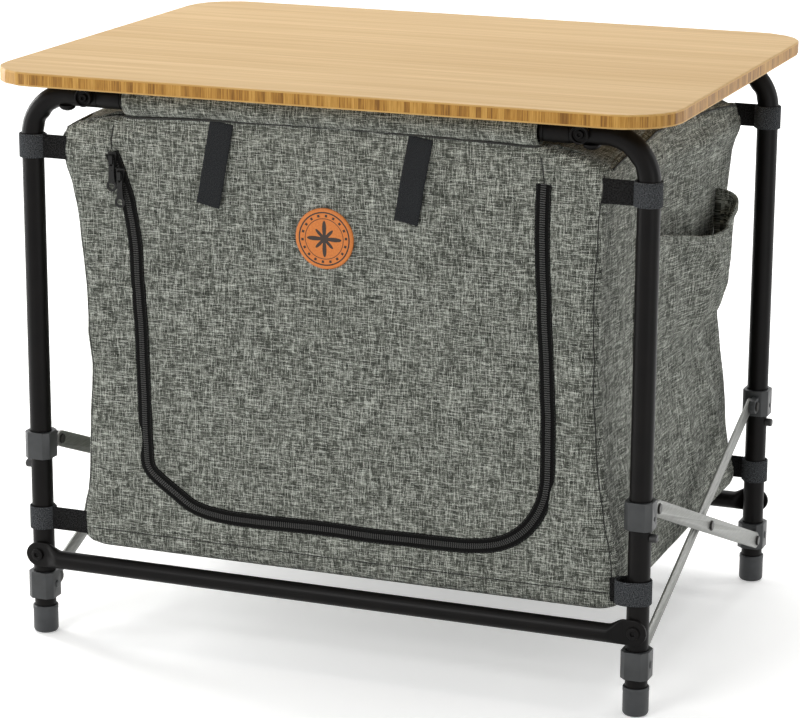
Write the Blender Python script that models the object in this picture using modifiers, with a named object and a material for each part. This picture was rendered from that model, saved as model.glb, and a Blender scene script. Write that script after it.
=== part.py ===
"""Folding chuck box: a fabric cabinet hung in a folding tube frame under a bamboo board.

Metres, +Z up, +X to the right of someone facing the door, the door towards -Y.
The origin is on the ground under the middle of the board.
"""
import math

import bmesh
import bpy
from mathutils import Matrix, Vector

# Board
board_width = 0.600
board_depth = 0.460
board_thickness = 0.012
board_gap = 0.0025
board_corner_radius = 0.047
board_edge_round = 0.0012
pad_width = 0.012
pad_depth = 0.016

# Frame tubes
leg_spacing_x = 0.549
leg_spacing_y = 0.373
tube_diameter = 0.019
tube_wall = 0.0012
bend_radius = 0.038
top_rail_height = 0.486
thin_tube_diameter = 0.016
leg_end_inset = 0.065
corner_bolt_inset = 0.0551
plug_inset_left = 0.034
plug_inset_right = 0.0485

# Feet
foot_diameter = 0.0224
foot_height = 0.025
foot_floor = 0.003

# Bottom rails with flattened ears
rail_height = 0.072
ear_height = 0.022
ear_thickness = 0.0028
ear_screw_rise = 0.0026
ear_run_straight = 0.013
ear_run_taper = 0.036

# Collars: chamfered squares that hold the brace bars
collar_half = 0.012
collar_flat_half = 0.007
collar_height = 0.024
lower_collar_height = 0.045
upper_collar_height = 0.174
collar_eye_diameter = 0.004
collar_eye_drop = 0.003
lug_thickness = 0.0055
lug_end_radius = 0.007
outer_lug_start = 0.0015
inner_lug_start = -0.0010

# Brace bars
bar_width = 0.0145
bar_thickness = 0.0025
bar_hole_diameter = 0.0052

# Fasteners
rivet_shank_diameter = 0.0048
rivet_head_diameter = 0.0094
rivet_head_height = 0.0015
spacer_diameter = 0.009
collar_rivet_shank_diameter = 0.004
collar_rivet_head_diameter = 0.0072
bolt_cup_diameter = 0.0144
bolt_cup_height = 0.0042
bolt_cup_recess = 0.0028
bolt_cup_lip = 0.0014
bolt_core_diameter = 0.0062
bolt_core_height = 0.0022
bolt_shank_diameter = 0.0050
bolt_shank_length = 0.0085
plug_dome_diameter = 0.0144
plug_dome_height = 0.0045
plug_stem_diameter = 0.0052
plug_stem_length = 0.0012
screw_head_diameter = 0.0110
screw_head_height = 0.0022
screw_shank_diameter = 0.0046
screw_shank_length = 0.0060
screw_recess_diameter = 0.0044
tube_rivet_bore = 0.0030

# Push buttons that stop the sliding collars
button_drop = 0.0195
button_diameter = 0.0074
button_reach = 0.0054
button_flange_diameter = 0.0094
button_flange_start = 0.0048
button_flange_thickness = 0.0012

# Couplings between a bent leg and its top rail
coupling_body_length = 0.025
coupling_lip = 0.0004
coupling_shoulder = 0.003
coupling_socket_depth = 0.019
coupling_spigot_length = 0.026

# Hung fabric body
cloth_thickness = 0.0022
sleeve_bore_clearance = 0.0006
sleeve_wall = 0.0012
sleeve_end_gap = 0.0025
hem_drop = 0.012
body_floor_rise = 0.0170
cloth_plane_offset = 0.0035
ear_gap = 0.0315
ear_rise = 0.0010
waist_pull = 0.0153
waist_power_share = 0.8
hang_drift = 0.014
body_foot_rise = 0.006
body_foot_inset = 0.010

# Door and its zip
zip_height_shares = (0.22857, 0.40000, 0.54805, 0.69610, 0.80779, 0.86494, 0.91169)
zip_left_shares = (0.74074, 0.74074, 0.74074, 0.74609, 0.76420, 0.78930, 0.81481)
zip_right_shares = (0.76543, 0.76543, 0.76214, 0.75926, 0.76132, 0.76543, 0.77366)
zip_corner_radius = 0.048
zip_tape_width = 0.013
door_top_share = 0.75720
door_hinge_drop = 0.0015
door_hinge_room = 0.0018
slider_width = 0.0080
slider_length = 0.012
slider_thickness = 0.0046
slider_drops = (0.0055, 0.0190)
slider_shifts = (-0.0012, 0.0012)
slider_bridge_reach = 0.0036
slider_bridge_width = 0.0036
slider_bridge_bar = 0.0013
pull_length = 0.025
pull_width = 0.0064
pull_thickness = 0.0010
pull_hole_diameter = 0.0036
tie_width = 0.021
tie_length = 0.068
tie_drop = 0.0060
tie_spread = 0.0886
tie_offset = -0.0055
tie_lean = 0.0130
tie_thickness = 0.0030
patch_diameter = 0.052
patch_thickness = 0.0014
patch_drop = 0.0935
patch_offset = -0.0040

# Straps round the legs
strap_width = 0.0205
strap_thickness = 0.0018
strap_play = 0.0006
strap_seam = 0.010
upper_strap_drop = 0.0455
lower_strap_rise = 0.0185

# Side pocket
pocket_mouth_drop = 0.100
pocket_height = 0.106
pocket_front = -0.100
pocket_back = 0.132
pocket_gape = 0.034
pocket_sag = 0.010
pocket_cloth = 0.0018
pocket_floor_reach = 0.005

# Lifting base board
base_back_room = 0.039
base_thickness = 0.006
base_side_gap = 0.006
base_rest_gap = 0.0009
base_hinge_setback = 0.0005

# Fits
touch_gap = 0.0003
slide_clearance = 0.0004
pass_clearance = 0.0003
brace_clearance = 0.0006
cut_overrun = 0.004
bury = 0.0010

# Facets
tube_sides = 16
turned_sides = 16
rivet_sides = 12
small_sides = 10
bend_steps = 5
corner_steps = 5

# Worked out from the sizes above
leg_x = leg_spacing_x / 2
leg_y = leg_spacing_y / 2
tube_radius = tube_diameter / 2
thin_radius = thin_tube_diameter / 2
board_top = top_rail_height + tube_radius + board_gap + board_thickness
ear_screw_height = rail_height + ear_screw_rise
button_height = upper_collar_height - button_drop
coupling_diameter = tube_diameter + coupling_lip
hem_height = top_rail_height - hem_drop
body_floor = rail_height + body_floor_rise
door_hinge_height = hem_height - door_hinge_drop
upper_strap_height = top_rail_height - upper_strap_drop
lower_strap_height = body_floor + lower_strap_rise
pocket_mouth = hem_height - pocket_mouth_drop
pocket_floor = pocket_mouth - pocket_height
tie_top = hem_height - tie_drop
patch_height = hem_height - patch_drop
base_depth = leg_spacing_y - base_back_room
pivot_offset = collar_half + bar_width / 2 + brace_clearance
pivot_y = leg_y - pivot_offset
outer_bar_start = outer_lug_start + lug_thickness + touch_gap
inner_bar_end = inner_lug_start - touch_gap
brace_run = 2 * pivot_y
brace_rise = upper_collar_height - lower_collar_height
cloth_y = leg_y + cloth_plane_offset
body_top_half = leg_x - ear_gap
door_top_half = body_top_half * door_top_share
zip_heights = [body_floor + (hem_height - body_floor) * share for share in zip_height_shares]
zip_left_halves = [body_top_half * share for share in zip_left_shares]
zip_right_halves = [body_top_half * share for share in zip_right_shares]
slider_heights = [zip_heights[-1] - drop for drop in slider_drops]
coupling_shoulder_x = leg_x - leg_end_inset - touch_gap
coupling_end_x = coupling_shoulder_x - coupling_body_length
sleeve_half = coupling_end_x - sleeve_end_gap
sleeve_inner = thin_radius + sleeve_bore_clearance
sleeve_outer = sleeve_inner + sleeve_wall
sleeve_root = top_rail_height - math.sqrt(sleeve_outer ** 2 - cloth_plane_offset ** 2) + bury
rail_y = leg_y + tube_radius + touch_gap + ear_thickness / 2
base_hinge_y = -cloth_y + cloth_thickness / 2 + base_hinge_setback + touch_gap
base_hinge_z = body_floor + cloth_thickness + base_rest_gap + base_thickness
upper_strap_top = upper_strap_height + strap_width / 2
lower_strap_top = lower_strap_height + strap_width / 2


def clear_scene():
    for old in list(bpy.data.objects):
        bpy.data.objects.remove(old, do_unlink=True)


def new_collection(name):
    made = bpy.data.collections.new(name)
    bpy.context.scene.collection.children.link(made)
    return made


clear_scene()
parts = new_collection("chuck_box")
cutters = new_collection("cutters")
bodies = {}


def material(name, colour, roughness, metallic=0.0):
    """A Principled BSDF of one colour."""
    made = bpy.data.materials.new(name)
    made.use_nodes = True
    shader = made.node_tree.nodes["Principled BSDF"]
    shader.inputs["Base Color"].default_value = (*colour, 1.0)
    shader.inputs["Roughness"].default_value = roughness
    shader.inputs["Metallic"].default_value = metallic
    made.diffuse_color = (*colour, 1.0)
    return made


def bamboo():
    return material("bamboo_ply", (0.62, 0.41, 0.19), 0.45)


def coated_steel():
    return material("black_coated_steel_tube", (0.018, 0.017, 0.016), 0.35, 0.3)


def black_plastic():
    return material("black_moulded_nylon", (0.035, 0.037, 0.040), 0.5)


def bar_steel():
    return material("zinc_plated_strip", (0.32, 0.32, 0.31), 0.4, 0.8)


def dark_steel():
    return material("blackened_steel", (0.03, 0.028, 0.027), 0.4, 0.7)


def melange_cloth():
    return material("grey_green_melange_polyester", (0.16, 0.165, 0.14), 0.9)


def webbing():
    return material("charcoal_hook_and_loop", (0.045, 0.047, 0.05), 0.9)


def tan_leather():
    return material("orange_tan_leather", (0.45, 0.15, 0.04), 0.6)


def body_empty(name, place):
    """The empty on a moving piece's joint axis."""
    empty = bpy.data.objects.new(name + "_axis", None)
    empty.location = place
    parts.objects.link(empty)
    bodies[name] = empty
    return empty


def link(obj, name, finish=None, body=None):
    """Name an object, give it its finish and hang it on its body's empty."""
    obj.name = name
    obj.data.name = name
    for owner in list(obj.users_collection):
        owner.objects.unlink(obj)
    parts.objects.link(obj)
    if finish is not None:
        obj.data.materials.clear()
        obj.data.materials.append(finish)
    if body is not None:
        bpy.context.view_layer.update()
        obj.parent = bodies[body]
        obj.matrix_parent_inverse = bodies[body].matrix_world.inverted()
    return obj


def round_shading(obj, degrees=35):
    obj.data.shade_smooth()
    obj.data.set_sharp_from_angle(angle=math.radians(degrees))
    return obj


def mesh_object(mesh, matrix=None):
    obj = bpy.data.objects.new(mesh.name, mesh)
    parts.objects.link(obj)
    if matrix is not None:
        obj.matrix_world = matrix
    return obj


def as_mesh(obj):
    """Turn an object with its modifiers into a plain mesh object in place."""
    bpy.context.view_layer.update()
    graph = bpy.context.evaluated_depsgraph_get()
    mesh = bpy.data.meshes.new_from_object(obj.evaluated_get(graph))
    work = bmesh.new()
    work.from_mesh(mesh)
    bmesh.ops.remove_doubles(work, verts=work.verts, dist=1e-6)
    bmesh.ops.recalc_face_normals(work, faces=work.faces)
    work.to_mesh(mesh)
    work.free()
    matrix = obj.matrix_world.copy()
    bpy.data.objects.remove(obj, do_unlink=True)
    return mesh_object(mesh, matrix)


def frame_to(direction, place):
    """A matrix that lays local +Z along a direction at a place."""
    turn = Vector((0, 0, 1)).rotation_difference(Vector(direction).normalized())
    return Matrix.Translation(Vector(place)) @ turn.to_matrix().to_4x4()


def turned(profile, direction, place, sides=turned_sides, closed=False):
    """Screw a profile of (radius, height) that runs down its outer side."""
    mesh = bpy.data.meshes.new("profile")
    count = len(profile)
    edges = [(i, i + 1) for i in range(count - 1)]
    if closed:
        edges.append((count - 1, 0))
    mesh.from_pydata([(r, 0, h) for r, h in profile], edges, [])
    obj = mesh_object(mesh, frame_to(direction, place))
    screw = obj.modifiers.new("turn", "SCREW")
    screw.steps = sides
    screw.render_steps = sides
    screw.use_merge_vertices = True
    screw.merge_threshold = 1e-6
    screw.use_normal_calculate = False
    return round_shading(as_mesh(obj))


def ring_profile(inner, outer, low, high):
    return [(outer, high), (outer, low), (inner, low), (inner, high)]


def flat_shape(outlines, thickness, plane, place):
    """Extrude a flat outline with holes. Plane XY, XZ or YZ; place is its middle."""
    curve = bpy.data.curves.new("outline", "CURVE")
    curve.dimensions = "2D"
    curve.fill_mode = "BOTH"
    curve.extrude = thickness / 2
    for points in outlines:
        spline = curve.splines.new("POLY")
        spline.points.add(len(points) - 1)
        for point, (a, b) in zip(spline.points, points):
            point.co = (a, b, 0, 1)
        spline.use_cyclic_u = True
    turns = {
        "XY": Matrix.Identity(4),
        "XZ": Matrix(((1, 0, 0, 0), (0, 0, -1, 0), (0, 1, 0, 0), (0, 0, 0, 1))),
        "YZ": Matrix(((0, 0, 1, 0), (1, 0, 0, 0), (0, 1, 0, 0), (0, 0, 0, 1))),
    }
    obj = bpy.data.objects.new("outline", curve)
    parts.objects.link(obj)
    obj.matrix_world = Matrix.Translation(Vector(place)) @ turns[plane]
    return even_triangles(as_mesh(obj))


def even_triangles(obj):
    """Turn the long thin triangles of a filled outline into rounder ones."""
    work = bmesh.new()
    work.from_mesh(obj.data)
    bmesh.ops.beautify_fill(work, faces=work.faces, edges=work.edges, method="ANGLE")
    work.to_mesh(obj.data)
    work.free()
    return obj


def circle(radius, a=0, b=0, sides=small_sides, start=0.0):
    step = 2 * math.pi / sides
    return [(a + radius * math.cos(start + i * step), b + radius * math.sin(start + i * step))
            for i in range(sides)]


def arc(centre, radius, first, last, steps):
    """Points along an arc, angles in degrees."""
    points = []
    for i in range(steps + 1):
        angle = math.radians(first + (last - first) * i / steps)
        points.append((centre[0] + radius * math.cos(angle), centre[1] + radius * math.sin(angle)))
    return points


def rounded_rectangle(width, depth, radius, steps=corner_steps):
    a, b = width / 2 - radius, depth / 2 - radius
    points = []
    for cx, cy, first in ((a, b, 0), (-a, b, 90), (-a, -b, 180), (a, -b, 270)):
        points += arc((cx, cy), radius, first, first + 90, steps)
    return points


def pipe(points, radius, wall, sides=tube_sides):
    """A hollow tube, open at both ends, along a list of points."""
    curve = bpy.data.curves.new("run", "CURVE")
    curve.dimensions = "3D"
    curve.bevel_depth = radius
    curve.bevel_resolution = (sides - 4) // 2
    curve.use_fill_caps = False
    spline = curve.splines.new("POLY")
    spline.points.add(len(points) - 1)
    for point, co in zip(spline.points, points):
        point.co = (*co, 1)
    obj = bpy.data.objects.new("run", curve)
    parts.objects.link(obj)
    obj = as_mesh(obj)
    outward_from_run(obj, points)
    shell = obj.modifiers.new("wall", "SOLIDIFY")
    shell.thickness = wall
    shell.offset = -1
    return obj


def outward_from_run(obj, points):
    """Point an open tube's faces away from its centre line."""
    work = bmesh.new()
    work.from_mesh(obj.data)
    work.faces.ensure_lookup_table()
    face = work.faces[0]
    middle = face.calc_center_median()
    nearest = min((nearest_on(Vector(a), Vector(b), middle) for a, b in zip(points, points[1:])),
                  key=lambda q: (q - middle).length)
    if face.normal.dot(middle - nearest) < 0:
        bmesh.ops.reverse_faces(work, faces=work.faces)
    work.to_mesh(obj.data)
    work.free()


def nearest_on(a, b, point):
    along = b - a
    share = max(0.0, min(1.0, (point - a).dot(along) / along.length_squared))
    return a + along * share


def rod_cutter(radius, direction, place, low, high, sides=small_sides):
    """A cylinder that only cuts, from low to high along a direction."""
    middle = Vector(place) + Vector(direction).normalized() * ((low + high) / 2)
    bpy.ops.mesh.primitive_cylinder_add(vertices=sides, radius=radius, depth=high - low)
    obj = bpy.context.active_object
    obj.matrix_world = frame_to(direction, middle)
    return keep_as_cutter(obj)


def keep_as_cutter(obj):
    for owner in list(obj.users_collection):
        owner.objects.unlink(obj)
    cutters.objects.link(obj)
    obj.hide_render = True
    obj.display_type = "WIRE"
    return obj


def boolean(obj, other, operation):
    keep_as_cutter(other)
    change = obj.modifiers.new(operation.lower(), "BOOLEAN")
    change.operation = operation
    change.solver = "EXACT"
    change.object = other
    return obj


def cut(obj, *tools):
    for tool in tools:
        boolean(obj, tool, "DIFFERENCE")
    return obj


def united(obj, *others):
    for other in others:
        boolean(obj, other, "UNION")
    return obj


def loft(rings):
    """Skin closed rings of equal count into one solid with flat ends."""
    work = bmesh.new()
    rows = [[work.verts.new(p) for p in ring] for ring in rings]
    for low, high in zip(rows, rows[1:]):
        for i in range(len(low)):
            j = (i + 1) % len(low)
            work.faces.new((low[i], low[j], high[j], high[i]))
    work.faces.new(rows[0])
    work.faces.new(list(reversed(rows[-1])))
    bmesh.ops.recalc_face_normals(work, faces=work.faces)
    mesh = bpy.data.meshes.new("loft")
    work.to_mesh(mesh)
    work.free()
    return mesh_object(mesh)


def cloth_sheet(across, along, place_at, thickness, offset):
    """A grid bent over a formula of two shares from 0 to 1, then thickened."""
    bpy.ops.mesh.primitive_grid_add(x_subdivisions=across, y_subdivisions=along, size=1)
    obj = bpy.context.active_object
    for vert in obj.data.vertices:
        vert.co = place_at(vert.co.x + 0.5, vert.co.y + 0.5)
    shell = obj.modifiers.new("cloth", "SOLIDIFY")
    shell.thickness = thickness
    shell.offset = offset
    return obj


# Fabric outline

def body_share(z):
    """0 at the lower straps, 1 at the upper straps."""
    share = (z - lower_strap_height) / (upper_strap_height - strap_width / 2 - lower_strap_height)
    return max(0.0, min(1.0, share))


def body_half(z):
    """Half the width of the hung body, drawn in between its straps."""
    wave = math.sin(math.pi * body_share(z))
    return body_top_half - waist_pull * max(0.0, wave) ** waist_power_share


def body_drift(z):
    """How far the hung body has shifted sideways at a height."""
    share = (hem_height - z) / (hem_height - body_floor)
    return hang_drift * max(0.0, min(1.0, share))


side_height_shares = (0.0, 0.06, 0.14, 0.24, 0.36, 0.5, 0.64, 0.76, 0.87, 0.95, 1.0)


def side_heights():
    low, high = lower_strap_height, upper_strap_height - strap_width / 2
    return [low + (high - low) * share for share in side_height_shares]


def body_outline():
    """The front or back cloth's edge as (x, z), all the way round."""
    heights = side_heights()
    top = upper_strap_top + ear_rise
    foot = body_floor + body_foot_rise
    right = [(body_drift(body_floor) + body_top_half - body_foot_inset, body_floor),
             (body_drift(foot) + body_top_half, foot)]
    right += [(body_drift(z) + body_half(z), z) for z in heights]
    right += [(body_drift(top) + body_top_half, top), (sleeve_half - bury, sleeve_root)]
    left = [(body_drift(body_floor) - body_top_half + body_foot_inset, body_floor),
            (body_drift(foot) - body_top_half, foot)]
    left += [(body_drift(z) - body_half(z), z) for z in heights]
    left += [(body_drift(top) - body_top_half, top), (-sleeve_half + bury, sleeve_root)]
    return right + list(reversed(left))


def zip_x(side, z):
    """The middle of the zip's upright run on one side at a height."""
    halves = zip_left_halves if side < 0 else zip_right_halves
    for low, high, a, b in zip(zip_heights, zip_heights[1:], halves, halves[1:]):
        if z <= high:
            return body_drift(z) + side * (a + (b - a) * (z - low) / (high - low))
    return body_drift(z) + side * halves[-1]


def zip_run(offset):
    """The zip's U moved outwards by an offset, from upper left round to upper right."""
    left = [(zip_x(-1, z) - offset, z) for z in reversed(zip_heights[1:])]
    right = [(zip_x(1, z) + offset, z) for z in zip_heights[1:]]
    bend_top = zip_heights[0]
    corners = []
    for side, first in ((-1, 180), (1, 270)):
        centre = (zip_x(side, bend_top) - side * zip_corner_radius, bend_top)
        corners += arc(centre, zip_corner_radius + offset, first, first + 90, corner_steps)
    return left + corners + right


def door_edge(offset, seam, top):
    """The U, then its edges drawn together above the zip's ends up to the hinge."""
    run = zip_run(offset)
    end = zip_heights[-1] + touch_gap
    left, right = zip_x(-1, end), zip_x(1, end)
    upper_left = [(-door_top_half - seam, top), (left - seam, end), (left - offset, end)]
    upper_right = [(right + offset, end), (right + seam, end), (door_top_half + seam, top)]
    return upper_left + run + upper_right


def sleeve(side):
    """The cloth tube that the top rail passes through."""
    ring = ring_profile(sleeve_inner, sleeve_outer, -sleeve_half, sleeve_half)
    return turned(ring, (1, 0, 0), (0, side * leg_y, top_rail_height), closed=True)


def cloth_plate(name, side, openings, body=None):
    """Front or back cloth: a flat panel, the rail's sleeve and the straps sewn to it."""
    plate = flat_shape([body_outline()] + openings, cloth_thickness, "XZ", (0, side * cloth_y, 0))
    united(plate, sleeve(side), *straps(side))
    return link(round_shading(as_mesh(plate)), name, melange_cloth(), body)


# Frame

def leg_run(sx, y):
    """The centre line of a bent leg from its foot to its end under the board."""
    x = sx * leg_x
    points = [(x, y, foot_floor + touch_gap)]
    bend = arc((leg_x - bend_radius, top_rail_height - bend_radius), bend_radius, 0, 90, bend_steps)
    points += [(sx * a, y, b) for a, b in bend]
    points.append((sx * (leg_x - leg_end_inset), y, top_rail_height))
    return points


def plug_x(sx):
    return leg_x - plug_inset_right if sx > 0 else -(leg_x - plug_inset_left)


def leg(name, sx, sy, body=None):
    """A bent tube with its holes and the domed plug pressed in under its end."""
    y = sy * leg_y
    tube = as_mesh(pipe(leg_run(sx, y), tube_radius, tube_wall))
    through = tube_radius + cut_overrun
    hole = collar_rivet_shank_diameter / 2 + pass_clearance
    cut(tube,
        rod_cutter(hole, (1, 0, 0), (sx * leg_x, y, lower_collar_height), -through, through),
        rod_cutter(button_diameter / 2 + pass_clearance, (sx, 0, 0), (sx * leg_x, y, button_height),
                   tube_radius / 2, through),
        rod_cutter(screw_shank_diameter / 2 + pass_clearance, (0, sy, 0),
                   (sx * leg_x, y, ear_screw_height), 0 if sy < 0 else -through, through),
        rod_cutter(bolt_shank_diameter / 2 + pass_clearance, (0, sy, 0),
                   (sx * (leg_x - corner_bolt_inset), y, top_rail_height), 0, through))
    united(tube, leg_plug(sx, sy))
    return link(round_shading(as_mesh(tube)), name, coated_steel(), body)


def foot_shape(sx, sy):
    outer, inner = foot_diameter / 2, tube_radius + pass_clearance
    edge = foot_floor / 2
    profile = [(inner, foot_height), (outer - edge / 2, foot_height), (outer, foot_height - edge / 2),
               (outer, edge), (outer - edge, 0), (0, 0)]
    cup = [(0, foot_floor), (inner, foot_floor)]
    return turned(cup + profile, (0, 0, 1), (sx * leg_x, sy * leg_y, 0))


def top_rail(name, sy, body=None):
    half = coupling_end_x + coupling_socket_depth - touch_gap
    ring = ring_profile(thin_radius - tube_wall, thin_radius, -half, half)
    tube = turned(ring, (1, 0, 0), (0, sy * leg_y, top_rail_height), tube_sides, True)
    return link(tube, name, coated_steel(), body)


def coupling_shape(sx, sy):
    """A moulded joint with its bolt: a socket for the top rail, a spigot in the leg."""
    outer = coupling_diameter / 2
    spigot = tube_radius - tube_wall - pass_clearance
    bore = thin_radius + pass_clearance / 2
    low, high = 0, coupling_body_length
    tip = high + coupling_spigot_length
    lip = coupling_shoulder
    groove = outer - tube_wall / 2
    profile = [(0, tip), (spigot - tube_wall, tip), (spigot, tip - tube_wall), (spigot, high),
               (outer, high), (outer, low + lip + tube_wall), (groove, low + lip),
               (groove, low + tube_wall), (outer, low + tube_wall / 2), (outer, low), (bore, low),
               (bore, low + coupling_socket_depth), (0, low + coupling_socket_depth)]
    place = (sx * coupling_end_x, sy * leg_y, top_rail_height)
    body = turned(profile, (sx, 0, 0), place, tube_sides)
    return round_shading(as_mesh(united(body, corner_bolt(sx, sy))))


def rail_ring(x, y, z, half_depth, half_height, power):
    """One rounded section of the bottom rail, from a circle to a flat ear."""
    points = []
    for i in range(tube_sides):
        angle = 2 * math.pi * i / tube_sides
        c, s = math.cos(angle), math.sin(angle)
        points.append((x, y + half_depth * math.copysign(abs(c) ** power, c),
                       z + half_height * math.copysign(abs(s) ** power, s)))
    return points


rail_end_shares = (0.995, 0.9, 0.72, 0.45, 0.0)
rail_taper_shares = (0.0, 0.3, 0.6, 0.85, 1.0)


def bottom_rail(name, sy, body=None):
    """A tube pressed flat at both ends, with the screw or rivet that holds each end."""
    y = sy * rail_y
    end_radius = ear_height / 2
    flat_start = leg_x - ear_run_straight
    taper_start = flat_start - ear_run_taper
    half = []
    for share in rail_end_shares:
        reach = end_radius * share
        height = math.sqrt(end_radius ** 2 - reach ** 2)
        half.append((leg_x + reach, ear_thickness / 2, height, ear_screw_height, 0.5))
    for share in rail_taper_shares:
        blend = share * share * (3 - 2 * share)
        x = flat_start + (taper_start - flat_start) * share
        half.append((x, ear_thickness / 2 + (thin_radius - ear_thickness / 2) * blend,
                     end_radius + (thin_radius - end_radius) * blend,
                     ear_screw_height + (rail_height - ear_screw_height) * blend,
                     0.5 + 0.5 * blend))
    rings = [rail_ring(x, y, z, d, h, p) for x, d, h, z, p in half]
    rings += [rail_ring(-x, y, z, d, h, p) for x, d, h, z, p in reversed(half)]
    rail = loft(rings)
    for sx in (-1, 1):
        united(rail, rail_screw(sx, sy) if sy < 0 else rail_rivet(sx, sy))
        if sy > 0:
            cut(rail, rod_cutter(tube_rivet_bore / 2, (0, 1, 0), (sx * leg_x, y, ear_screw_height),
                                 -2 * tube_diameter, tube_diameter))
    return link(round_shading(as_mesh(rail)), name, coated_steel(), body)


def collar_shape(sx, sy, z, lug_start, fixed):
    """A chamfered square collar with one lug towards the other frame.

    A fixed collar has the rivet that pins it to its leg."""
    h, f = collar_half, collar_flat_half
    outline = [(h, f), (f, h), (-f, h), (-h, f), (-h, -f), (-f, -h), (f, -h), (h, -f)]
    x, y = sx * leg_x, sy * leg_y
    bore = circle(tube_radius + slide_clearance, sides=tube_sides)
    ring = flat_shape([outline, bore], collar_height, "XY", (x, y, z))
    reach = -sy * pivot_offset
    inner = -sy * (collar_half - bury)
    r = lug_end_radius
    if sy < 0:
        lug_edge = [(inner, -r)] + arc((reach, 0), r, -90, 90, corner_steps) + [(inner, r)]
    else:
        lug_edge = [(inner, r)] + arc((reach, 0), r, 90, 270, corner_steps) + [(inner, -r)]
    eye = circle(rivet_shank_diameter / 2 + pass_clearance, reach)
    lug = flat_shape([lug_edge, eye], lug_thickness, "YZ", (x + lug_start + lug_thickness / 2, y, z))
    united(ring, lug)
    if fixed:
        united(ring, collar_rivet(sx, sy))
    else:
        cut(ring, rod_cutter(collar_eye_diameter / 2, (sx, 0, 0), (x, y, z - collar_eye_drop),
                             tube_radius / 2, collar_half + cut_overrun))
    return as_mesh(ring)


def rivet_shape(x_low, x_high, y, z, shank, head, spacer=None):
    """A rivet along X with a head outside x_low and one outside x_high.

    A spacer of (radius, low, high) thickens the middle of its shank."""
    top, bottom = x_high + rivet_head_height, x_low - rivet_head_height
    crown = head / 2 - rivet_head_height / 2
    middle = rivet_head_height / 2
    profile = [(0, top), (crown, top), (head / 2, top - middle), (head / 2, x_high), (shank / 2, x_high)]
    if spacer:
        radius, low, high = spacer
        profile += [(shank / 2, high), (radius, high), (radius, low), (shank / 2, low)]
    profile += [(shank / 2, x_low), (head / 2, x_low), (head / 2, bottom + middle), (crown, bottom),
                (0, bottom)]
    return turned(profile, (1, 0, 0), (0, y, z), rivet_sides)


def collar_rivet(sx, sy):
    x, reach = sx * leg_x, collar_half - bury / 2
    return rivet_shape(x - reach, x + reach, sy * leg_y, lower_collar_height,
                       collar_rivet_shank_diameter, collar_rivet_head_diameter)


def outer_pivot(sx, sy, z):
    """The rivet through an outer bar and its lug."""
    x = sx * leg_x
    low, high = x + outer_lug_start - touch_gap, x + outer_bar_start + bar_thickness + touch_gap
    return rivet_shape(low, high, sy * pivot_y, z, rivet_shank_diameter, rivet_head_diameter)


def inner_pivot(sx, sy, z):
    """The rivet through an inner bar and its lug."""
    x = sx * leg_x
    low = x + inner_bar_end - bar_thickness - touch_gap
    high = x + inner_lug_start + lug_thickness + touch_gap
    return rivet_shape(low, high, sy * pivot_y, z, rivet_shank_diameter, rivet_head_diameter)


def bar_outline(rise_sign):
    """A flat strip with round ends from its lower to its upper pivot, with three holes."""
    run, rise = brace_run / 2, rise_sign * brace_rise / 2
    slope = math.degrees(math.atan2(rise, run))
    r = bar_width / 2
    edge = arc((run, rise), r, slope - 90, slope + 90, corner_steps)
    edge += arc((-run, -rise), r, slope + 90, slope + 270, corner_steps)
    eye = bar_hole_diameter / 2
    return [edge, circle(eye, run, rise), circle(eye), circle(eye, -run, -rise)]


def brace_bar(name, sx, outer, body):
    """The outer bar rises to the front leg, the inner bar rises to the rear leg."""
    start = outer_bar_start if outer else inner_bar_end - bar_thickness
    x = sx * leg_x + start + bar_thickness / 2
    z = (upper_collar_height + lower_collar_height) / 2
    bar = flat_shape(bar_outline(-1 if outer else 1), bar_thickness, "YZ", (x, 0, z))
    return link(bar, name, bar_steel(), body)


def brace_centre(name, sx, body):
    """The middle rivet, with the shoulder that keeps the two bars apart."""
    x = sx * leg_x
    z = (upper_collar_height + lower_collar_height) / 2
    low = x + inner_bar_end - bar_thickness - touch_gap
    high = x + outer_bar_start + bar_thickness + touch_gap
    shoulder = (spacer_diameter / 2, x + inner_bar_end + touch_gap, x + outer_bar_start - touch_gap)
    rivet = rivet_shape(low, high, 0, z, rivet_shank_diameter, rivet_head_diameter, shoulder)
    return link(rivet, name, dark_steel(), body)


def corner_bolt(sx, sy):
    """A cupped bolt head with a raised core, its shank in the coupling's spigot."""
    r, h = bolt_cup_diameter / 2, bolt_cup_height
    floor = h - bolt_cup_recess
    core = bolt_core_diameter / 2
    shank = bolt_shank_diameter / 2
    lip = bolt_cup_lip
    profile = [(0, floor + bolt_core_height / 2), (core / 2, floor + bolt_core_height / 2),
               (core / 2, floor + bolt_core_height), (core, floor + bolt_core_height), (core, floor),
               (r - lip, floor), (r - lip, h), (r - lip / 2, h), (r, h - lip / 2), (r, 0), (shank, 0),
               (shank, -bolt_shank_length), (0, -bolt_shank_length)]
    place = (sx * (leg_x - corner_bolt_inset), sy * (leg_y + tube_radius + touch_gap), top_rail_height)
    return turned(profile, (0, sy, 0), place, rivet_sides)


def leg_plug(sx, sy):
    """A domed plug in the hole under the bent end of a leg."""
    r, h = plug_dome_diameter / 2, plug_dome_height
    dome = [(r * math.cos(math.radians(a)), -h * math.sin(math.radians(a))) for a in (0, 25, 50, 70)]
    profile = [(0, plug_stem_length), (plug_stem_diameter / 2, plug_stem_length),
               (plug_stem_diameter / 2, 0)] + dome + [(0, -h)]
    return turned(profile, (0, 0, 1), (plug_x(sx), sy * leg_y, top_rail_height - tube_radius))


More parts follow.
